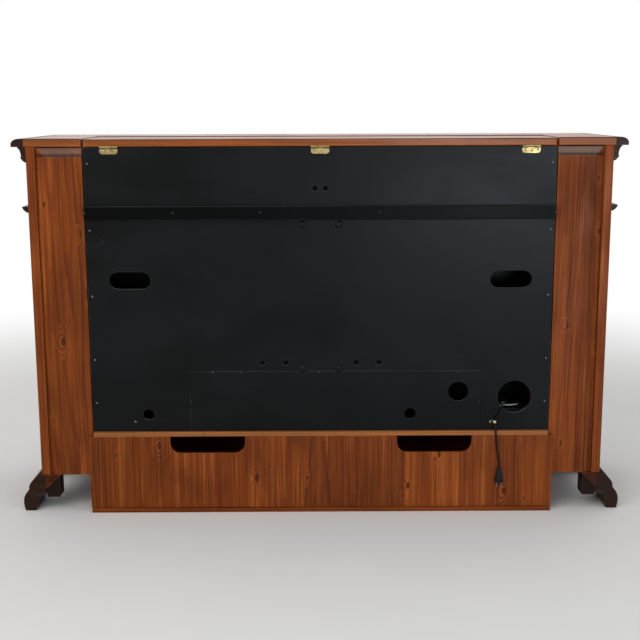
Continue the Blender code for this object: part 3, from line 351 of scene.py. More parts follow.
def pine_colour(grain, fibre, figure, patch, brightness):
    board = grain.board
    warm = streaks(board, (15, 15, 1.1))
    colour = mix(remap(warm, 0.35, 0.65, 0.0, 1.0), PINE_MIDDLE, PINE_EARLY)
    colour = mix(grain.late, colour, PINE_LATE)
    drunk = ramp(fibre, [(0.3, (0.50, 0.47, 0.45)), (0.7, (1.08, 1.08, 1.08))])
    colour = mix(0.5, colour, drunk, "MULTIPLY")
    lined = ramp(figure, [(0.30, (0.52, 0.45, 0.40)), (0.66, (1.18, 1.16, 1.14))])
    colour = mix(0.72, colour, lined, "MULTIPLY")
    light = remap(streaks(board, (30, 30, 1.1)), 0.60, 0.74, 0.0, 0.40)
    colour = mix(light, colour, PINE_STREAK)
    amber = remap(streaks(board, (150, 150, 2.4), 2.0, 0.4), 0.60, 0.70, 0.0, 0.54)
    colour = mix(amber, colour, PINE_STREAK)
    colour = mix(1.0, colour, ramp(patch, SMUDGE_TONES), "MULTIPLY")
    drift = streaks(board, (3.0, 3.0, 2.4), 2.0)
    taken = ramp(drift, [(0.36, (1.15, 1.16, 1.16)), (0.64, (0.84, 0.82, 0.82))])
    colour = mix(1.0, colour, taken, "MULTIPLY")
    tone = times(plus(times(grain.lot, 0.26), 0.78), brightness)
    colour = mix(1.0, colour, joined(tone, tone, tone), "MULTIPLY")
    halo = remap(grain.near, 0.10, 0.34, 0.42, 0.0)
    halo = times(halo, remap(grain.year, 0.10, 0.55, 1.0, 0.0))
    colour = mix(times(halo, remap(figure, 0.38, 0.58, 0.25, 1.0)), colour, PINE_STREAK)
    core = plus(grain.near, times(figure, 0.03))
    colour = mix(remap(core, 0.055, 0.085, 0.92, 0.0), colour, PINE_KNOT)
    return mix(remap(core, 0.030, 0.060, 0.75, 0.0), colour, PINE_LATE)


def stained_pine(name, order, stave=0.13, rough=0.40, seed=0.0, brightness=1.0, raw=0.0, shine=0.10,
                 upright_beyond=None, dark_between=None, rim=PINE_STREAK, arris=0.0, dust_and_sheen=0.0):
    material, tree, shader = blank(name)
    grain = pine_grain(tree, order, stave, seed, upright_beyond)
    fibre = streaks(grain.board, (380, 380, 7), 2.0)
    figure = streaks(grain.board, (110, 110, 2.0), 4.0, 0.3)
    patch = streaks(grain.board, (11, 11, 4.5), 4.0, 0.5)
    colour = pine_colour(grain, fibre, figure, patch, brightness)
    if raw:
        colour = mix(raw, colour, PINE_RAW)
    up = facing_up(tree)
    # Faces that lean upward, the bevels of the raised panels, are greyed paler: a painted sheen.
    if dust_and_sheen:
        colour = mix(remap(up, 0.10, 0.22, 0.0, dust_and_sheen), colour, PINE_PAINTED_SHEEN)
    # A dark band between two places along one direction: painted shade at the lid seam and on the braces, and
    # a dark band at the panels' step.
    if dark_between:
        letter, low, high, fade, depth = dark_between
        rising = remap(grain.axis[letter], low, low + CRISP, 0.0, depth)
        falling = remap(grain.axis[letter], high - fade, high, 1.0, 0.0)
        colour = mix(times(rising, falling), colour, PINE_DARK_AND_SHADE)
    thin = remap(cloud(grain.board, 26.0), 0.35, 0.65, 0.10, 0.65)
    colour = mix(times(edge_wear(tree, 0.0022), thin), colour, rim)
    if arris:
        rising = remap(up, 0.08, 0.25, 0.0, arris)
        falling = remap(up, 0.95, 0.99, 1.0, 0.0)
        colour = mix(times(rising, falling), colour, PINE_DARK_AND_SHADE)
    coat(shader, colour, remap(patch, 0.3, 0.7, 1.3 * rough, 0.85 * rough), shine)
    height = plus(times(fibre, 0.6), times(grain.late, -0.5))
    relief(shader, height, 0.00054 * rough, 0.7)
    return material


# %% [markdown]
# Each kind of board now gets pine in its own direction. The two raised panels of the back differ a little in
# colour, their bevels carry a painted sheen, stronger on the right, and a dark band runs along the step above
# their fields. The top is smoother than the rest, and its front board has a painted shadow along the seam,
# where the lid lies a little lower. The braces at the rear feet get a darkened pine, painted shade of the
# base, and are darker still past their rear face.

# %% Pine for each board
# A dark band along the step above the raised fields.
STEP_LINE = ("z", 1.0222, 1.0350, 0.0080, 0.70)
# A painted shadow along the seam between the front top board and the lid.
SEAM_LINE = ("y", BACK + 0.2225, BACK + 0.2246, CRISP, 0.96)
# Painted shade on the braces: all but their rear face is darkened.
BRACE_PAINTED_SHADE = ("y", BACK + 0.003, 0, CRISP, 0.96)
TOP = dict(stave=0.11, rough=0.24, seed=5.0, brightness=1.36, raw=0.08, shine=0.14, rim=PINE_KNOT,
           arris=0.9)

pine_upright = stained_pine("pine_upright", "xyz", seed=1.0)
pine_left = stained_pine("pine_left_panel", "xyz", dust_and_sheen=0.34, seed=1.0, dark_between=STEP_LINE)
pine_right = stained_pine("pine_right_panel", "xyz", dust_and_sheen=0.60, brightness=0.84, seed=1.0,
                          dark_between=STEP_LINE)
pine_staves = stained_pine("pine_staves", "xyz", stave=0.17, seed=4.0, brightness=0.95)
pine_end = stained_pine("pine_end", "yxz", stave=0.14, seed=2.0)
pine_level = stained_pine("pine_level", "zyx", stave=0.30, seed=3.0)
pine_top = stained_pine("pine_top", "yzx", **TOP)
pine_top_front = stained_pine("pine_top_front", "yzx", dark_between=SEAM_LINE, **TOP)
pine_edge = stained_pine("pine_edge", "yzx", stave=0.20, seed=6.0, brightness=1.15, raw=0.22, rim=PINE_RAW)
# The braces get a darkened pine: painted shade of the base above them.
pine_painted_shade = stained_pine("pine_painted_shade", "zyx", stave=0.20, seed=9.0, brightness=0.27,
                           dark_between=BRACE_PAINTED_SHADE)
pine_front = stained_pine("pine_front", "zyx", stave=0.30, seed=7.0, upright_beyond=(0.326, 0.306))
pine_door = stained_pine("pine_door", "zyx", stave=0.30, seed=8.0, upright_beyond=(0.327, 0.235))
print(len([m for m in bpy.data.materials if m.name.startswith("pine")]), "finishes of pine")

# %% [markdown]
# The feet and mouldings are stained nearly black-brown, with the grain still showing and the colour rubbed
# thin along their edges. The back panels are fibreboard under satin black paint. A roller leaves that paint
# faintly streaked from side to side, and years of cables leave fine pale scratches. Every face that looks up,
# such as the lower rims of the openings and the top of the rail, is made paler, partly dust and partly a
# painted highlight.
# The rail's paint is deeper and duller.

# %% Dark stain and black paint
STAIN_TONES = [(0.28, (0.009, 0.004, 0.0026)), (0.50, (0.021, 0.0085, 0.005)), (0.75, (0.044, 0.0165, 0.008))]


def dark_wood(name):
    material, tree, shader = blank(name)
    place = position(tree)
    grain = streaks(place, (26, 26, 150), 4.0, 0.6)
    patch = cloud(place, 11.0)
    colour = ramp(grain, STAIN_TONES)
    colour = mix(remap(patch, 0.4, 0.7, 0.0, 0.5), colour, (0.020, 0.010, 0.007))
    worn = times(edge_wear(tree, 0.002), remap(patch, 0.35, 0.6, 0.0, 0.6))
    colour = mix(worn, colour, (0.12, 0.048, 0.022))
    coat(shader, colour, remap(grain, 0.3, 0.7, 0.42, 0.30), 0.10)
    relief(shader, grain, 0.0003, 0.6)
    return material


def black_paint(name, depth, shine, dust_and_sheen):
    material, tree, shader = blank(name)
    place = position(tree)
    rolled = streaks(place, (5, 60, 300), 4.0)
    grain = cloud(place, 900.0, 2.0)
    haze = streaks(place, (3.0, 3.0, 5.0), 4.0, 0.5)
    scuff = cells(stretched(place, (3.2, 1.0, 11.0)), feature="DISTANCE_TO_EDGE")["Distance"]
    line = remap(scuff, 0.0, 0.006, 1.0, 0.0)
    broken = remap(cloud(place, 9.0, 2.0), 0.58, 0.70, 0.0, 0.32)
    blacks = ((0.3, (0.0030, 0.0031, 0.0033)), (0.7, (0.0060, 0.0064, 0.0071)))
    colour = ramp(haze, [(stop, [depth * part for part in black]) for stop, black in blacks])
    colour = mix(times(line, broken), colour, (0.055, 0.057, 0.060))
    worn = times(edge_wear(tree, 0.0016), remap(haze, 0.35, 0.65, 0.05, 0.6))
    colour = mix(worn, colour, (0.110, 0.110, 0.112))
    # Faces that look up are made paler: partly dust, partly a painted highlight of the light from above.
    colour = mix(remap(facing_up(tree), 0.5, 0.95, 0.0, dust_and_sheen), colour, (0.16, 0.165, 0.17))
    dulled = plus(haze, times(rolled, 0.4))
    coat(shader, colour, remap(dulled, 0.5, 0.95, 0.28, 0.40), shine)
    relief(shader, plus(rolled, times(grain, 0.25)), 0.00016, 0.55)
    return material


stain = dark_wood("dark_stain_finish")
paint = black_paint("black_paint_finish", depth=0.85, shine=0.10, dust_and_sheen=0.45)
rail_paint = black_paint("rail_paint_finish", depth=0.35, shine=0.045, dust_and_sheen=0.15)
print("finishes:", stain.name, paint.name, rail_paint.name)

# %% [markdown]
# The metals and plastics follow one recipe: a colour that drifts a little, a roughness that drifts with it,
# and a fine grain in relief. Brass is dulled in patches, zinc is cloudy, and moulded plastic is finely
# pitted. Each colour is given twice, clean and dull, and the blacks lean a trace to blue.

# %% Metals and plastics
def worn_surface(name, clean, dull, metallic, rough, grain_scale, grain_depth, shine=0.5):
    material, tree, shader = blank(f"{name}_finish")
    place = position(tree)
    patch = cloud(place, 40.0, 4.0, 0.5)
    grain = cloud(place, grain_scale)
    drifting = remap(plus(patch, grain), 0.7, 1.3, rough + 0.14, rough)
    coat(shader, ramp(patch, [(0.34, dull), (0.62, clean)]), drifting, shine)
    shader.inputs["Metallic"].default_value = metallic
    relief(shader, grain, grain_depth, 0.5)
    return material


brass = worn_surface("brass", (0.33, 0.245, 0.102), (0.20, 0.142, 0.054), 1.0, 0.28, 700.0, 0.00008)
polished = worn_surface("polished_brass", (0.78, 0.70, 0.50), (0.60, 0.50, 0.30), 1.0, 0.16, 700.0, 0.00004)
steel = worn_surface("steel", (0.60, 0.61, 0.62), (0.44, 0.45, 0.47), 1.0, 0.32, 600.0, 0.00006)
zinc = worn_surface("zinc", (0.28, 0.28, 0.27), (0.18, 0.17, 0.16), 1.0, 0.36, 600.0, 0.00006)
dark_steel = worn_surface("dark_steel", (0.050, 0.051, 0.053), (0.022, 0.022, 0.024), 0.4, 0.34,
                          500.0, 0.00008, 0.3)
oxide = worn_surface("black_oxide", (0.005, 0.005, 0.0055), (0.003, 0.003, 0.0033), 0.0, 0.12,
                     500.0, 0.00003, 0.12)
plastic = worn_surface("black_plastic", (0.0060, 0.0060, 0.0065), (0.0035, 0.0035, 0.0038), 0.0, 0.30,
                       1500.0, 0.00012, 0.16)
sheath = worn_surface("cord_sheath", (0.0050, 0.0050, 0.0054), (0.0030, 0.0030, 0.0033), 0.0, 0.34,
                      900.0, 0.00010, 0.12)
tape = worn_surface("woven_tape", (0.42, 0.41, 0.38), (0.28, 0.27, 0.25), 0.0, 0.60, 1400.0, 0.00030)
print(len(bpy.data.materials), "materials so far")

# %% [markdown]
# The solid model's own pieces keep their shapes. Its meshes come as loose triangles with knife-sharp edges,
# and real boards are eased with sandpaper. Three modifiers see to that: weld joins the triangles, a planar
# decimate gives back the flat faces, and a bevel rounds the edges that are left.

# %% Dress the carried pieces
def dress(names, material, ease=0.0012):
    for name in names:
        obj = nodes[name]
        for slot in obj.material_slots:
            slot.material = material
        weld = obj.modifiers.new("weld", "WELD")
        weld.merge_threshold = 0.00002
        flat = obj.modifiers.new("flat", "DECIMATE")
        flat.decimate_type = "DISSOLVE"
        flat.angle_limit = math.radians(0.4)
        rounded = obj.modifiers.new("rounded", "BEVEL")
        rounded.width = ease
        rounded.segments = 2
        rounded.limit_method = "ANGLE"
        rounded.angle_limit = math.radians(40)


def both(name):
    return [f"left_{name}", f"right_{name}"]


dress(["left_back_panel"], pine_left)
dress(["right_back_panel"], pine_right)
dress(both("partition"), pine_upright)
dress(["base_back_panel"], pine_staves)
dress(both("end_panel"), pine_end, 0.0015)
dress(both("foot_brace"), pine_painted_shade, 0.0010)
dress(["lid"] + both("top_wing"), pine_top, 0.0024)
dress(["front_top_board"], pine_top_front)
dress(["well_floor"], pine_edge)
dress(["base_bottom_board"], pine_level)
dress(["face_frame"], pine_front)
dress(both("door_frame"), pine_door, 0.0020)
dress(both("door_panel") + both("front_panel"), pine_upright, 0.0010)
# The well's front panel, seen through the holes, gets the black paint as well: painted shade for the dark
# inside the well.
dress(["upper_back_panel", "main_back_panel", "well_front_panel"], paint, 0.0009)
dress(["access_cover"], paint, 0.0016)
dress(["back_rail"], rail_paint, 0.0022)
dress(["lift_column", "lift_carriage", "lift_middle_frame", "actuator_rod"] + both("tv_arm"), steel, 0.0006)
dress(["actuator_housing"], dark_steel, 0.0010)
dress(["control_box"], plastic, 0.0005)
dress(["cord_clip"], polished, 0.0003)
print(sum(1 for o in nodes.values() if o.modifiers), "carried pieces dressed")

# %% [markdown]
# New pieces all go through one door. It joins doubled points, turns the faces outward, shades them smooth
# except across real edges, moves the mesh from the cabinet's back plane to its place, and hands it to the
# body that carries it.

# %% A door for new pieces
def make_piece(name, bm, material, body="cabinet", replaced=(), sharp=35.0):
    bmesh.ops.remove_doubles(bm, verts=bm.verts, dist=0.000001)
    bmesh.ops.recalc_face_normals(bm, faces=bm.faces)
    bmesh.ops.translate(bm, verts=bm.verts, vec=(0, BACK, 0))
    for face in bm.faces:
        face.smooth = True
    for edge in bm.edges:
        if len(edge.link_faces) == 2 and edge.calc_face_angle(0.0) > math.radians(sharp):
            edge.smooth = False
    mesh = bpy.data.meshes.new(name)
    bm.to_mesh(mesh)
    bm.free()
    mesh.materials.append(material)
    obj = bpy.data.objects.new(name, mesh)
    bpy.context.collection.objects.link(obj)
    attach(obj, body)
    if replaced:
        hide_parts(*replaced)
    print(name, len(mesh.polygons), "faces")
    return obj


# %% [markdown]
# The lead itself is a curve with a round section, through the points that we worked out above. Smooth
# handles round it between the points, as a real cord does.

# %% Lead
lead_curve = bpy.data.curves.new("lead", "CURVE")
lead_curve.dimensions = "3D"
lead_curve.bevel_depth = LEAD_RADIUS
lead_curve.bevel_resolution = 4
lead_curve.resolution_u = 4
lead_curve.use_fill_caps = True
spline = lead_curve.splines.new("BEZIER")
spline.bezier_points.add(len(way) - 1)
for point, co in zip(spline.bezier_points, way):
    point.co = co
    point.handle_left_type = point.handle_right_type = "AUTO"
lead_curve.materials.append(sheath)
lead = bpy.data.objects.new("lead", lead_curve)
bpy.context.collection.objects.link(lead)
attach(lead, "cabinet")
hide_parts("power_cord", "power_cord_coil")
print("lead curve with", len(spline.bezier_points), "points")

# %% [markdown]
# Where the lead leaves its box it is held by a soft tapered sleeve, so that it can't kink there. One ring of
# points, drawn out step by step and narrowed as it goes, makes that sleeve. The same helper makes the
# plug below, whose grip is ribbed like a bellows.

# %% Sleeve at the box
SLEEVE_RIBS = 9
SLEEVE_PITCH = 0.0024


def points_of(geom):
    return [item for item in geom if isinstance(item, bmesh.types.BMVert)]


def edges_of(geom):
    return [item for item in geom if isinstance(item, bmesh.types.BMEdge)]


def once(items):
    """Each item one time, in the order in which they come."""
    return list(dict.fromkeys(items))


def edges_at(verts):
    return once(edge for vert in verts for edge in vert.link_edges)


def drawn_out(bm, rings, axis, segments=24, square=2.0):
    """A closed body from rings of (place along the axis, half width, half depth)."""
    start, half_wide, half_deep = rings[0]
    ring = bmesh.ops.create_circle(bm, segments=segments, radius=1.0, cap_ends=True)["verts"]
    for vert in ring:
        round_x, round_y = vert.co.x, vert.co.y
        vert.co.x = math.copysign(abs(round_x) ** (2 / square), round_x)
        vert.co.y = math.copysign(abs(round_y) ** (2 / square), round_y)
    bmesh.ops.scale(bm, verts=ring, vec=(half_wide, half_deep, 1))
    bmesh.ops.translate(bm, verts=ring, vec=(0, 0, start))
    edges = [edge for edge in bm.edges if edge.verts[0] in ring and edge.verts[1] in ring]
    made = list(ring)
    for step, (place, wide, deep) in enumerate(rings[1:]):
        out = bmesh.ops.extrude_edge_only(bm, edges=edges)["geom"]
        verts, edges = points_of(out), edges_of(out)
        before = rings[step]
        bmesh.ops.scale(bm, verts=verts, vec=(wide / before[1], deep / before[2], 1))
        bmesh.ops.translate(bm, verts=verts, vec=(0, 0, place - before[0]))
        made += verts
    bmesh.ops.contextual_create(bm, geom=edges)
    bmesh.ops.transform(bm, verts=made, matrix=axis)


bm = bmesh.new()
forward = Matrix.Translation(leaving) @ Matrix.Rotation(math.radians(-90), 4, "X")
sleeve_rings = []
for rib in range(SLEEVE_RIBS):
    place = SLEEVE_PITCH * rib
    wide = 0.0039 - 0.0009 * rib / (SLEEVE_RIBS - 1)
    deep = min(wide, 0.00285)
    sleeve_rings += [(place, wide, deep), (place + 0.0014, wide, deep)]
    sleeve_rings += [(place + 0.0016, wide - 0.0003, 0.0027), (place + 0.0023, wide - 0.0003, 0.0027)]
drawn_out(bm, sleeve_rings, forward)
make_piece("lead_sleeve", bm, plastic)

# %% [markdown]
# The coil is kept together by a narrow woven tape. It is a long ring round all the turns at one side:
# a circle pulled apart at its middle, drawn up into a band and given a little thickness. The tape's free end
# lies along the outermost turn, and it is the pale strip that shows through the round hole, standing in for
# the bright line on the coil's front turn: a painted highlight.

# %% Tape round the coil
TAPE_PLACE = 240
TAPE_ROUND = 0.0056
TAPE_PULL = 0.0103
FREE_END_RADIUS = 0.0482


def turned(bm, verts, degrees, axis):
    matrix = Matrix.Rotation(math.radians(degrees), 3, axis)
    bmesh.ops.rotate(bm, verts=verts, cent=(0, 0, 0), matrix=matrix)


bm = bmesh.new()
# The free end: a pale strip that stands in for a highlight on the coil's front turn, a painted highlight.
end = [bm.verts.new((FREE_END_RADIUS, 0, height)) for height in (-0.0014, 0.0014)]
edge = bm.edges.new(end)
bmesh.ops.spin(bm, geom=end + [edge], cent=(0, 0, 0), axis=(0, 0, 1), angle=math.radians(84), steps=24)
turned(bm, bm.verts, 224, "Z")
bmesh.ops.translate(bm, verts=bm.verts, vec=COIL_MIDDLE + Vector((0, 0, LAYER_HEIGHT)))
free_end = set(bm.verts)
ring = bmesh.ops.create_circle(bm, segments=32, radius=TAPE_ROUND)["verts"]
for vert in ring:
    vert.co.x += math.copysign(TAPE_PULL, vert.co.x)
band = bmesh.ops.extrude_edge_only(bm, edges=edges_at(ring))["geom"]
bmesh.ops.translate(bm, verts=points_of(band), vec=(0, 0, 0.009))
band = [v for v in bm.verts if v not in free_end]
turned(bm, band, 90, "X")
turned(bm, band, TAPE_PLACE - 180, "Z")
angle = math.radians(TAPE_PLACE)
across_turns = Vector((math.cos(angle), math.sin(angle), 0)) * 0.0310
bmesh.ops.translate(bm, verts=band, vec=COIL_MIDDLE + across_turns + Vector((0, 0, LAYER_HEIGHT / 2)))
bmesh.ops.solidify(bm, geom=list(bm.faces), thickness=0.0003)
coil_tape = make_piece("coil_tape", bm, tape)

# %% [markdown]
# The plug is the flat two-blade kind. Its grip grows from the lead in ribs, widens into the body, and ends
# in a flat face. Each blade is a thin strip with rounded corners and a round hole near its tip, which
# catches a bump inside the socket.

# %% Plug
PLUG = Vector((0.5143, -0.0207, 0.1335))
RIBS = 4
RIB_PITCH = 0.0090
BLADE_APART = 0.0127
BLADE_THICK = 0.0015
bm = bmesh.new()
downward = Matrix.Translation(PLUG) @ Matrix.Rotation(math.radians(180), 4, "X")
grip = [(0.0, 0.0034, 0.0034), (0.0012, 0.0040, 0.0040), (0.0030, 0.0040, 0.0040)]
for rib in range(RIBS):
    place = 0.0036 + RIB_PITCH * rib
    wide = 0.0056 + 0.0018 * rib
    deep = 0.0050 + 0.0007 * rib
    grip += [(place, wide - 0.0014, deep - 0.0014), (place + 0.0008, wide - 0.0002, deep - 0.0001),
             (place + 0.0016, wide, deep), (place + 0.0056, wide + 0.0008, deep + 0.0002),
             (place + 0.0064, wide - 0.0002, deep - 0.0012), (place + 0.0082, wide - 0.0001, deep - 0.0013)]
grip += [(0.0400, 0.0110, 0.0065), (0.0406, 0.0120, 0.0075), (0.0448, 0.0120, 0.0075),
         (0.0456, 0.0117, 0.0072), (0.0460, 0.0110, 0.0066)]
drawn_out(bm, grip, downward, 40, 3.2)
plug_body = make_piece("plug_body", bm, plastic, replaced=["plug"], sharp=50)

bm = bmesh.new()
for hand in (-1, 1):
    corners = bmesh.ops.create_grid(bm, x_segments=1, y_segments=1, size=1.0)["verts"]
    bmesh.ops.scale(bm, verts=corners, vec=(0.00315, 0.0080, 1))
    tip = [v for v in corners if v.co.y < 0]
    rounded = bmesh.ops.bevel(bm, geom=tip, offset=0.0016, segments=4, profile=0.5, affect="VERTICES",
                              material=-1)
    strip = once(f for v in rounded["verts"] for f in v.link_faces)
    rim = once(e for f in strip for e in f.edges)
    bmesh.ops.delete(bm, geom=strip, context="FACES_ONLY")
    eye = bmesh.ops.create_circle(bm, segments=20, radius=0.0016)["verts"]
    bmesh.ops.translate(bm, verts=eye, vec=(0, -0.0042, 0))
    rim += edges_at(eye)
    filled = bmesh.ops.triangle_fill(bm, use_beauty=True, edges=rim)["geom"]
    faces = [item for item in filled if isinstance(item, bmesh.types.BMFace)]
    thick = bmesh.ops.extrude_face_region(bm, geom=faces, use_keep_orig=True)["geom"]
    raised = points_of(thick)
    bmesh.ops.translate(bm, verts=raised, vec=(0, 0, BLADE_THICK))
    blade = once([v for f in faces for v in f.verts] + raised)
    upright_blade = Matrix(((0, 0, 1, 0), (1, 0, 0, 0), (0, 1, 0, 0), (0, 0, 0, 1)))
    spot = Matrix.Translation(PLUG + Vector(((hand * BLADE_APART - BLADE_THICK) / 2, 0, -0.0530)))
    bmesh.ops.transform(bm, verts=blade, matrix=spot @ upright_blade)
plug_blades = make_piece("plug_blades", bm, zinc)

# %% [markdown]
# The mouldings go round three sides of the cabinet and are cut square at the back, which is what we see.
# Each is a profile drawn as a line of points and extruded three times: along one end, across the front and
# back along the other end. At a corner every point moves out by its own reach, and that makes the mitre.

# %% Mouldings
CARCASS_END, CARCASS_FRONT = 0.811, 0.430
TOP_END, TOP_FRONT = 0.8175, 0.4365


def curve_points(centre, wide, high, start, stop, count=10):
    steps = [math.radians(start + (stop - start) * step / count) for step in range(count + 1)]
    return [(centre[0] + wide * math.cos(a), centre[1] + high * math.sin(a)) for a in steps]


def profile_loop(bm, points, end_x, y):
    verts = [bm.verts.new((-(end_x + reach), y, z)) for reach, z in points]
    return [bm.edges.new((a, b)) for a, b in zip(verts, verts[1:] + verts[:1])]


def draw_along(bm, edges, move):
    """Extrudes the profile and moves each new point as `move` says."""
    out = bmesh.ops.extrude_edge_only(bm, edges=edges)["geom"]
    for vert in points_of(out):
        vert.co = move(vert.co)
    return edges_of(out)


def close_ends(bm, *rims):
    for rim in rims:
        bmesh.ops.contextual_create(bm, geom=rim)


def wrap_moulding(name, points, end_x, front, node):
    bm = bmesh.new()
    first = profile_loop(bm, points, end_x, 0.0)
    corner = draw_along(bm, first, lambda co: Vector((co.x, front - co.x - end_x, co.z)))
    other = draw_along(bm, corner, lambda co: Vector((-co.x, co.y, co.z)))
    last = draw_along(bm, other, lambda co: Vector((co.x, 0.0, co.z)))
    close_ends(bm, first, last)
    make_piece(name, bm, stain, replaced=[node], sharp=28)


nosing = [(0.0003, 1.0506), (0.0320, 1.0506), (0.0330, 1.0516)]
nosing += curve_points((0.011, 1.0575), 0.022, 0.0155, 0, 90, 18) + [(0.0003, 1.0730)]
wrap_moulding("nosing", nosing, TOP_END, TOP_FRONT, "top_nosing")

cornice = [(0.0003, 1.0082), (0.0003, 1.0501), (0.0215, 1.0501), (0.0220, 1.0496), (0.0220, 1.0472)]
cornice += [(0.0220 - 0.0094 * math.sin(a), 1.0237 + 0.0235 * math.cos(a))
            for a in (math.radians(90 * step / 14) for step in range(1, 15))]
cornice += curve_points((0.0126, 1.0207), 0.0015, 0.0030, 90, -90, 8)[1:]
cornice += [(0.0117, 1.0177), (0.0102, 1.0150), (0.0075, 1.0118), (0.0045, 1.0096), (0.0015, 1.0082)]
wrap_moulding("cornice", cornice, CARCASS_END, CARCASS_FRONT, "cornice_moulding")

waist = [(0.0003, 0.8700), (0.0003, 0.8870), (0.0158, 0.8870), (0.0165, 0.8863), (0.0165, 0.8836)]
waist += [(0.0155, 0.8826), (0.0142, 0.8796), (0.0118, 0.8764), (0.0088, 0.8738), (0.0060, 0.8722)]
waist += [(0.0044, 0.8712), (0.0040, 0.8704), (0.0036, 0.8700)]
wrap_moulding("waist", waist, CARCASS_END, CARCASS_FRONT, "waist_moulding")

# %% [markdown]
# Each foot is an ogee bracket: it runs out from the carcass, swells and turns back under itself. We note
# points of that outline and let a smooth curve pass through them. A rear foot is the outline extruded along
# the end, and a front foot turns the corner with the same mitre as the mouldings.

# %% Feet
def eased(points, steps=5):
    """A smooth line through the points: each span bends to agree with its neighbours."""
    line = [points[0], *points, points[-1]]
    out = []
    for a, b, c, d in zip(line, line[1:], line[2:], line[3:]):
        for step in range(steps):
            t = step / steps
            out.append(tuple(0.5 * (2 * q + (r - p) * t + (2 * p - 5 * q + 4 * r - s) * t * t
                                    + (3 * q - p - 3 * r + s) * t ** 3) for p, q, r, s in zip(a, b, c, d)))
    return out + [points[-1]]


SIDES = ((-1, "left"), (1, "right"))
FOOT_LENGTH = 0.120
OGEE = [(0.0003, 0.1220), (0.0058, 0.1160), (0.0232, 0.0965), (0.0345, 0.0838), (0.0388, 0.0739),
        (0.0400, 0.0641), (0.0486, 0.0528), (0.0550, 0.0395), (0.0563, 0.0222), (0.0536, 0.0055),
        (0.0505, 0.0003)]
foot_line = eased(OGEE) + [(0.0255, 0.0003), (0.0210, 0.0025), (0.0188, 0.0065), (0.0182, 0.0520),
                           (-0.0100, 0.0520), (-0.0100, 0.1087), (0.0003, 0.1087)]


def make_foot(name, hand, at_front):
    bm = bmesh.new()
    first = profile_loop(bm, foot_line, CARCASS_END, CARCASS_FRONT - FOOT_LENGTH if at_front else 0.0)
    if at_front:
        corner = draw_along(bm, first, lambda co: Vector((co.x, CARCASS_FRONT - co.x - CARCASS_END, co.z)))
        last = draw_along(bm, corner, lambda co: Vector((FOOT_LENGTH - CARCASS_END, co.y, co.z)))
    else:
        last = draw_along(bm, first, lambda co: Vector((co.x, FOOT_LENGTH, co.z)))
    close_ends(bm, first, last)
    if hand > 0:
        bmesh.ops.scale(bm, verts=bm.verts, vec=(-1, 1, 1))
    make_piece(f"{name}_bracket", bm, stain, replaced=[name], sharp=30)


for at_front, end in ((False, "rear"), (True, "front")):
    for hand, side in SIDES:
        make_foot(f"{end}_{side}_foot", hand, at_front)

# %% [markdown]
# Turned pieces come from a lathe: half an outline, spun round an axis. The knobs and the dome-headed bolts
# are made this way.

# %% Turned pieces
def turn_outline(bm, outline, place, segments=32):
    """Spins (radius, height) points about the place's own Z axis."""
    verts = [bm.verts.new((radius, 0, height)) for radius, height in outline]
    edges = [bm.edges.new(pair) for pair in zip(verts, verts[1:])]
    before = set(bm.verts) - set(verts)
    bmesh.ops.spin(bm, geom=verts + edges, cent=(0, 0, 0), axis=(0, 0, 1), angle=2 * math.pi,
                   steps=segments, use_merge=True)
    made = [v for v in bm.verts if v not in before]
    bmesh.ops.remove_doubles(bm, verts=made, dist=0.000001)
    made = [v for v in bm.verts if v not in before]
    bmesh.ops.transform(bm, verts=made, matrix=place)


def facing(x, y, z, back=True):
    """The place of a turned piece whose axis points out of the back, or out of the front."""
    return Matrix.Translation((x, y, z)) @ Matrix.Rotation(math.radians(90 if back else -90), 4, "X")


KNOB = (0.057, 0.4304, 0.600)
BOLT_ASIDE = 0.052
BOLT_RADIUS = 0.0105

knob_line = [(0, 0), (0.0098, 0), (0.0102, 0.0006), (0.0100, 0.0018), (0.0080, 0.0028)]
knob_line += [(0.0062, 0.0050), (0.0058, 0.0085), (0.0058, 0.0100), (0.0078, 0.0122)]
knob_line += curve_points((0.0, 0.0206), 0.0158, 0.0090, -38, 62, 14) + [(0.0050, 0.0296), (0.0, 0.0298)]
for hand, side in SIDES:
    bm = bmesh.new()
    turn_outline(bm, knob_line, facing(hand * KNOB[0], *KNOB[1:], back=False))
    make_piece(f"{side}_knob", bm, brass, f"{side}_door", [f"{side}_door_knob"], sharp=50)

bolt_line = [(0, -0.0160), (0.0040, -0.0160), (0.0040, 0), (0.0103, 0), (BOLT_RADIUS, 0.0004)]
bolt_line += curve_points((0.0, 0.0004), BOLT_RADIUS, 0.0054, 10, 60, 5)
bolt_line += [(0.0044, 0.0052), (0.0035, 0.0050), (0.0032, 0.0022), (0, 0.0018)]
for row, z in (("upper", 0.835), ("lower", 0.422)):
    for hand, side in SIDES:
        bm = bmesh.new()
        turn_outline(bm, bolt_line, facing(hand * BOLT_ASIDE, -0.0003, z), 28)
        make_piece(f"bolt_{row}_{side}", bm, oxide, replaced=[f"lift_bolt_{row}_{side}"])

# %% [markdown]
# A brass butt hinge is two thin leaves rolled round one pin. The rolled knuckles take turns: the leaf on the
# panel has the two outer ones, and the leaf under the lid has the middle one. Each leaf is a flat plate with
# rounded corners, and each knuckle a short turned barrel.

# %% Lid hinges
PIN = Vector((0, -0.0036, 1.0493))
HALF_HINGE = 0.0255
KNUCKLE_RADIUS = 0.0030
KNUCKLE_PLAY = 0.0003
HINGES = (("left", -0.582), ("centre", 0.0), ("right", 0.582))


def block(bm, size, middle):
    made = bmesh.ops.create_cube(bm, size=1.0)["verts"]
    bmesh.ops.scale(bm, verts=made, vec=size)
    bmesh.ops.translate(bm, verts=made, vec=middle)
    return made


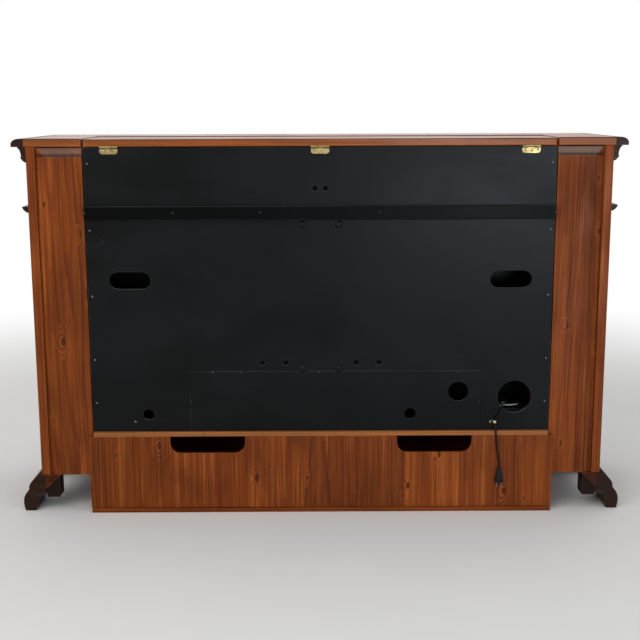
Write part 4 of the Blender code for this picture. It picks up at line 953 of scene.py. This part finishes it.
def leaf_plate(bm, low, high, corner, upright_leaf):
    """A plate between two corners, with its free corners rounded."""
    made = block(bm, [b - a for a, b in zip(low, high)], [(a + b) / 2 for a, b in zip(low, high)])
    through, out = (1, 2) if upright_leaf else (2, 1)
    free = min if upright_leaf else max
    rim = free(v.co[out] for v in made)
    edges = [e for e in bm.edges if all(v in made for v in e.verts)
             and abs(e.verts[0].co[through] - e.verts[1].co[through]) > 0.0005
             and all(abs(v.co[out] - rim) < 0.00001 for v in e.verts)
             and abs(e.verts[0].co.x - e.verts[1].co.x) < 0.00001]
    bmesh.ops.bevel(bm, geom=edges, offset=corner, segments=5, profile=0.5, affect="EDGES", material=-1)


def lying(x):
    return Matrix.Translation((x, PIN.y, PIN.z)) @ Matrix.Rotation(math.radians(90), 4, "Y")


def barrel(bm, place, length, radius, ease=0.0004):
    line = [(0, 0), (radius - ease, 0), (radius, ease)]
    line += [(radius, length - ease), (radius - ease, length), (0, length)]
    turn_outline(bm, line, place, 24)


third = HALF_HINGE / 3
inner = third - KNUCKLE_PLAY
for name, x in HINGES:
    bm = bmesh.new()
    leaf_plate(bm, (x - HALF_HINGE, -0.0019, 1.0301), (x + HALF_HINGE, -0.0003, 1.0457), 0.0085, True)
    for x0, x1 in ((x - HALF_HINGE, x - third), (x + third, x + HALF_HINGE)):
        leaf_plate(bm, (x0, -0.0019, 1.0440), (x1, -0.0006, 1.0490), 0.0001, True)
        barrel(bm, lying(x0), x1 - x0, KNUCKLE_RADIUS)
    barrel(bm, lying(x - third - 0.001), 2 * third + 0.002, 0.0015)
    make_piece(f"{name}_panel_leaf", bm, brass, replaced=[f"{name}_hinge_lower_leaf"])
    bm = bmesh.new()
    leaf_plate(bm, (x - HALF_HINGE, 0.0003, 1.0486), (x + HALF_HINGE, 0.0180, 1.0502), 0.0045, False)
    leaf_plate(bm, (x - inner, PIN.y, 1.0486), (x + inner, 0.0010, 1.0502), 0.0001, False)
    barrel(bm, lying(x - inner), 2 * inner, KNUCKLE_RADIUS)
    make_piece(f"{name}_lid_leaf", bm, brass, "lid_assembly", [f"{name}_hinge_upper_leaf"])

# %% [markdown]
# Screws hold everything on this back. A screw head is a low dome with a cross pressed into it. We start from
# a small square, pull an arm out of each side to make the cross, bridge it to a circle, draw the circle
# down to the rim, and sink the cross.

# %% Screw heads
def screw_head(bm, radius, height, place):
    before = set(bm.verts)
    square = bmesh.ops.create_grid(bm, x_segments=1, y_segments=1, size=radius * 0.11)
    for edge in edges_at(square["verts"]):
        out = (edge.verts[0].co + edge.verts[1].co).normalized() * radius * 0.42
        arm = bmesh.ops.extrude_edge_only(bm, edges=[edge])["geom"]
        bmesh.ops.translate(bm, verts=points_of(arm), vec=out)
    cross = [f for f in bm.faces if not before & set(f.verts)]
    outline = [e for e in once(e for f in cross for e in f.edges) if len(e.link_faces) == 1]
    circle = bmesh.ops.create_circle(bm, segments=24, radius=radius * 0.74)["verts"]
    bmesh.ops.translate(bm, verts=circle, vec=(0, 0, -height * 0.18))
    rim = edges_at(circle)
    bmesh.ops.bridge_loops(bm, edges=outline + rim)
    for wide, drop in ((0.92, 0.24), (1.0, 0.30), (1.0, 0.28)):
        out = bmesh.ops.extrude_edge_only(bm, edges=rim)["geom"]
        verts, rim = points_of(out), edges_of(out)
        scale = radius * wide / math.hypot(verts[0].co.x, verts[0].co.y)
        bmesh.ops.scale(bm, verts=verts, vec=(scale, scale, 1))
        bmesh.ops.translate(bm, verts=verts, vec=(0, 0, -height * drop))
    bmesh.ops.contextual_create(bm, geom=rim)
    sunk = bmesh.ops.extrude_face_region(bm, geom=cross)["geom"]
    bmesh.ops.scale(bm, verts=points_of(sunk), vec=(0.62, 0.62, 1))
    bmesh.ops.translate(bm, verts=points_of(sunk), vec=(0, 0, -height * 0.7))
    made = [v for v in bm.verts if v not in before]
    bmesh.ops.translate(bm, verts=made, vec=(0, 0, height))
    bmesh.ops.transform(bm, verts=made, matrix=place)


def driven(number, start=0):
    """Screws are driven until they hold, so neighbours stop at different angles."""
    return Matrix.Rotation(math.radians(37 * number + start), 4, "Z")


def screw_set(name, places, radius, height, material, y=0.0):
    bm = bmesh.new()
    for number, (x, z) in enumerate(places):
        screw_head(bm, radius, height, facing(x, y, z) @ driven(number, 11))
    make_piece(name, bm, material)


panel_places = [(hand * 0.643, z) for hand in (-1, 1) for z in (1.0044, 0.8193, 0.6332, 0.4499, 0.3235)]
screw_set("panel_screws", panel_places, 0.0026, 0.0013, zinc)
rail_places = [(x, 0.869) for x in (-0.652, -0.409, -0.167, 0.167, 0.409, 0.652)]
screw_set("rail_screws", rail_places, 0.0029, 0.0014, dark_steel, -0.0143)
cover_places = [(-0.308, 0.411), (-0.229, 0.410), (-0.005, 0.411)]
cover_places += [(0.392, 0.4105), (-0.372, 0.326), (0.455, 0.324)]
screw_set("cover_screws", cover_places, 0.0030, 0.0014, dark_steel)
bores = ((0.0148, 0.9355), (0.100, 0.441), (0.1658, 0.441))
bore_places = [(hand * x, z) for x, z in bores for hand in (-1, 1)]
screw_set("bore_screws", bore_places, 0.0072, 0.0032, oxide, 0.005)
screw_set("lone_screw", [(-0.534, 0.267)], 0.0029, 0.0014, zinc)
screw_set("clip_screw", [(0.4915, 0.264)], 0.0036, 0.0018, oxide, -0.0021)
hinge_places = [(x + aside, z) for name, x in HINGES
                for aside, z in ((-0.0170, 1.0400), (0.0, 1.0370), (0.0170, 1.0400))]
screw_set("hinge_screws", hinge_places, 0.0036, 0.0012, polished, -0.0019)

# %% [markdown]
# Each door turns on one long brass hinge. Its barrel is cut into knuckles that share a single pin, and its
# leaf lies on the face frame under a row of screws. On a real cabinet it is bought by the metre and sawn off.

# %% Long door hinges
KNUCKLES = 14
KNUCKLE = 0.050
LONG_PIN = (0.634, 0.4335)
LEAF_MIDDLE = (0.6431, 0.4310, 0.4405)
LEAF_WIDTH, LEAF_THICK = 0.0178, 0.0013
LEAF_SCREWS = 9
SCREW_LINE = (0.6450, 0.4316)
SCREW_PITCH = 0.08


def standing(hand, z):
    return Matrix.Translation((hand * LONG_PIN[0], LONG_PIN[1], z))


for hand, side in SIDES:
    bm = bmesh.new()
    length = KNUCKLES * KNUCKLE
    block(bm, (LEAF_WIDTH, LEAF_THICK, length), (hand * LEAF_MIDDLE[0], *LEAF_MIDDLE[1:]))
    through = [e for e in bm.edges if abs(e.verts[0].co.y - e.verts[1].co.y) > 0.001]
    corners = [e for e in through if abs(e.verts[0].co.x) > LEAF_MIDDLE[0]]
    bmesh.ops.bevel(bm, geom=corners, offset=0.004, segments=5, profile=0.5, affect="EDGES", material=-1)
    for knuckle in range(KNUCKLES):
        barrel(bm, standing(hand, 0.0908 + KNUCKLE * knuckle), KNUCKLE - 0.0008, 0.0031)
    barrel(bm, standing(hand, 0.0915), length - 0.002, 0.0018)
    for number in range(LEAF_SCREWS):
        place = facing(hand * SCREW_LINE[0], SCREW_LINE[1], 0.1205 + SCREW_PITCH * number, back=False)
        screw_head(bm, 0.0032, 0.0009, place @ driven(number))
    make_piece(f"{side}_long_hinge", bm, brass, replaced=[f"{side}_door_hinge"])

# %% [markdown]
# The studio is plain: a pale floor, a pale surround and three broad soft lamps. Far from the cabinet the
# floor fades into the white of the surround, for the camera alone, so that no horizon cuts the picture.

# %% Floor
FADE_START, FADE_END = 1.4, 3.6
floor_material, tree, shader = blank("floor_finish")
place = position(tree)
pale = [(0.3, (0.765, 0.765, 0.757)), (0.7, (0.785, 0.785, 0.778))]
feed(ramp(cloud(place, 3.0, 5.0), pale), shader.inputs["Base Color"])
shader.inputs["Roughness"].default_value = 0.85
distance = tree.nodes.new("ShaderNodeVectorMath")
distance.operation = "LENGTH"
feed(place, distance.inputs[0])
bright = tree.nodes.new("ShaderNodeEmission")
shown = tree.nodes.new("ShaderNodeMixShader")
away = remap(distance.outputs["Value"], FADE_START, FADE_END, 0.0, 1.0)
to_camera = tree.nodes.new("ShaderNodeLightPath").outputs["Is Camera Ray"]
feed(times(away, to_camera), shown.inputs[0])
feed(shader.outputs[0], shown.inputs[1])
feed(bright.outputs[0], shown.inputs[2])
feed(shown.outputs[0], tree.nodes["Material Output"].inputs["Surface"])
bm = bmesh.new()
bmesh.ops.create_grid(bm, x_segments=1, y_segments=1, size=30.0)
floor_mesh = bpy.data.meshes.new("floor")
bm.to_mesh(floor_mesh)
bm.free()
floor_mesh.materials.append(floor_material)
floor = bpy.data.objects.new("floor", floor_mesh)
bpy.context.collection.objects.link(floor)
print("floor of", len(floor_mesh.polygons), "face")

# %% [markdown]
# To the camera, in mirrors and through anything clear, the surround is simply white. As a light it is dimmer,
# so that the lamps keep their say. The main lamp stands high on the left behind the camera. A cooler one on
# the right gives the black panels their bluish sheen, and one above lights the top.

# %% Surround and lamps
world = bpy.data.worlds.new("surround")
bpy.context.scene.world = world
world.use_nodes = True
tree = world.node_tree
ground = tree.nodes["Background"]
rays = tree.nodes.new("ShaderNodeLightPath").outputs
seen = calc("MAXIMUM", rays["Is Camera Ray"], rays["Is Glossy Ray"])
seen = calc("MAXIMUM", seen, rays["Is Transmission Ray"])
feed(remap(seen, 0.0, 1.0, 0.42, 1.0, smooth=False), ground.inputs["Strength"])
ground.inputs["Color"].default_value = (1.0, 1.0, 1.0, 1.0)


def lamp(name, place, aim, size, power, colour):
    data = bpy.data.lights.new(name, "AREA")
    data.shape = "RECTANGLE"
    data.size, data.size_y = size
    data.energy = power
    data.color = colour
    obj = bpy.data.objects.new(name, data)
    turn = (Vector(aim) - Vector(place)).to_track_quat("-Z", "Y").to_matrix().to_4x4()
    obj.matrix_world = Matrix.Translation(place) @ turn
    bpy.context.collection.objects.link(obj)


lamp("main_lamp", (-2.4, -3.6, 3.2), (0, 0, 0.5), (3.8, 3.8), 103, (1.0, 0.97, 0.93))
lamp("cool_lamp", (1.8, -4.6, 0.72), (0.2, 0, 0.7), (2.8, 0.7), 70, (0.80, 0.90, 1.0))
lamp("top_lamp", (0.2, 0.6, 3.4), (0, 0, 1.0), (3.6, 3.0), 42, (1.0, 1.0, 1.0))
bpy.context.scene.view_settings.view_transform = "Standard"
print(len(bpy.data.lights), "lamps")
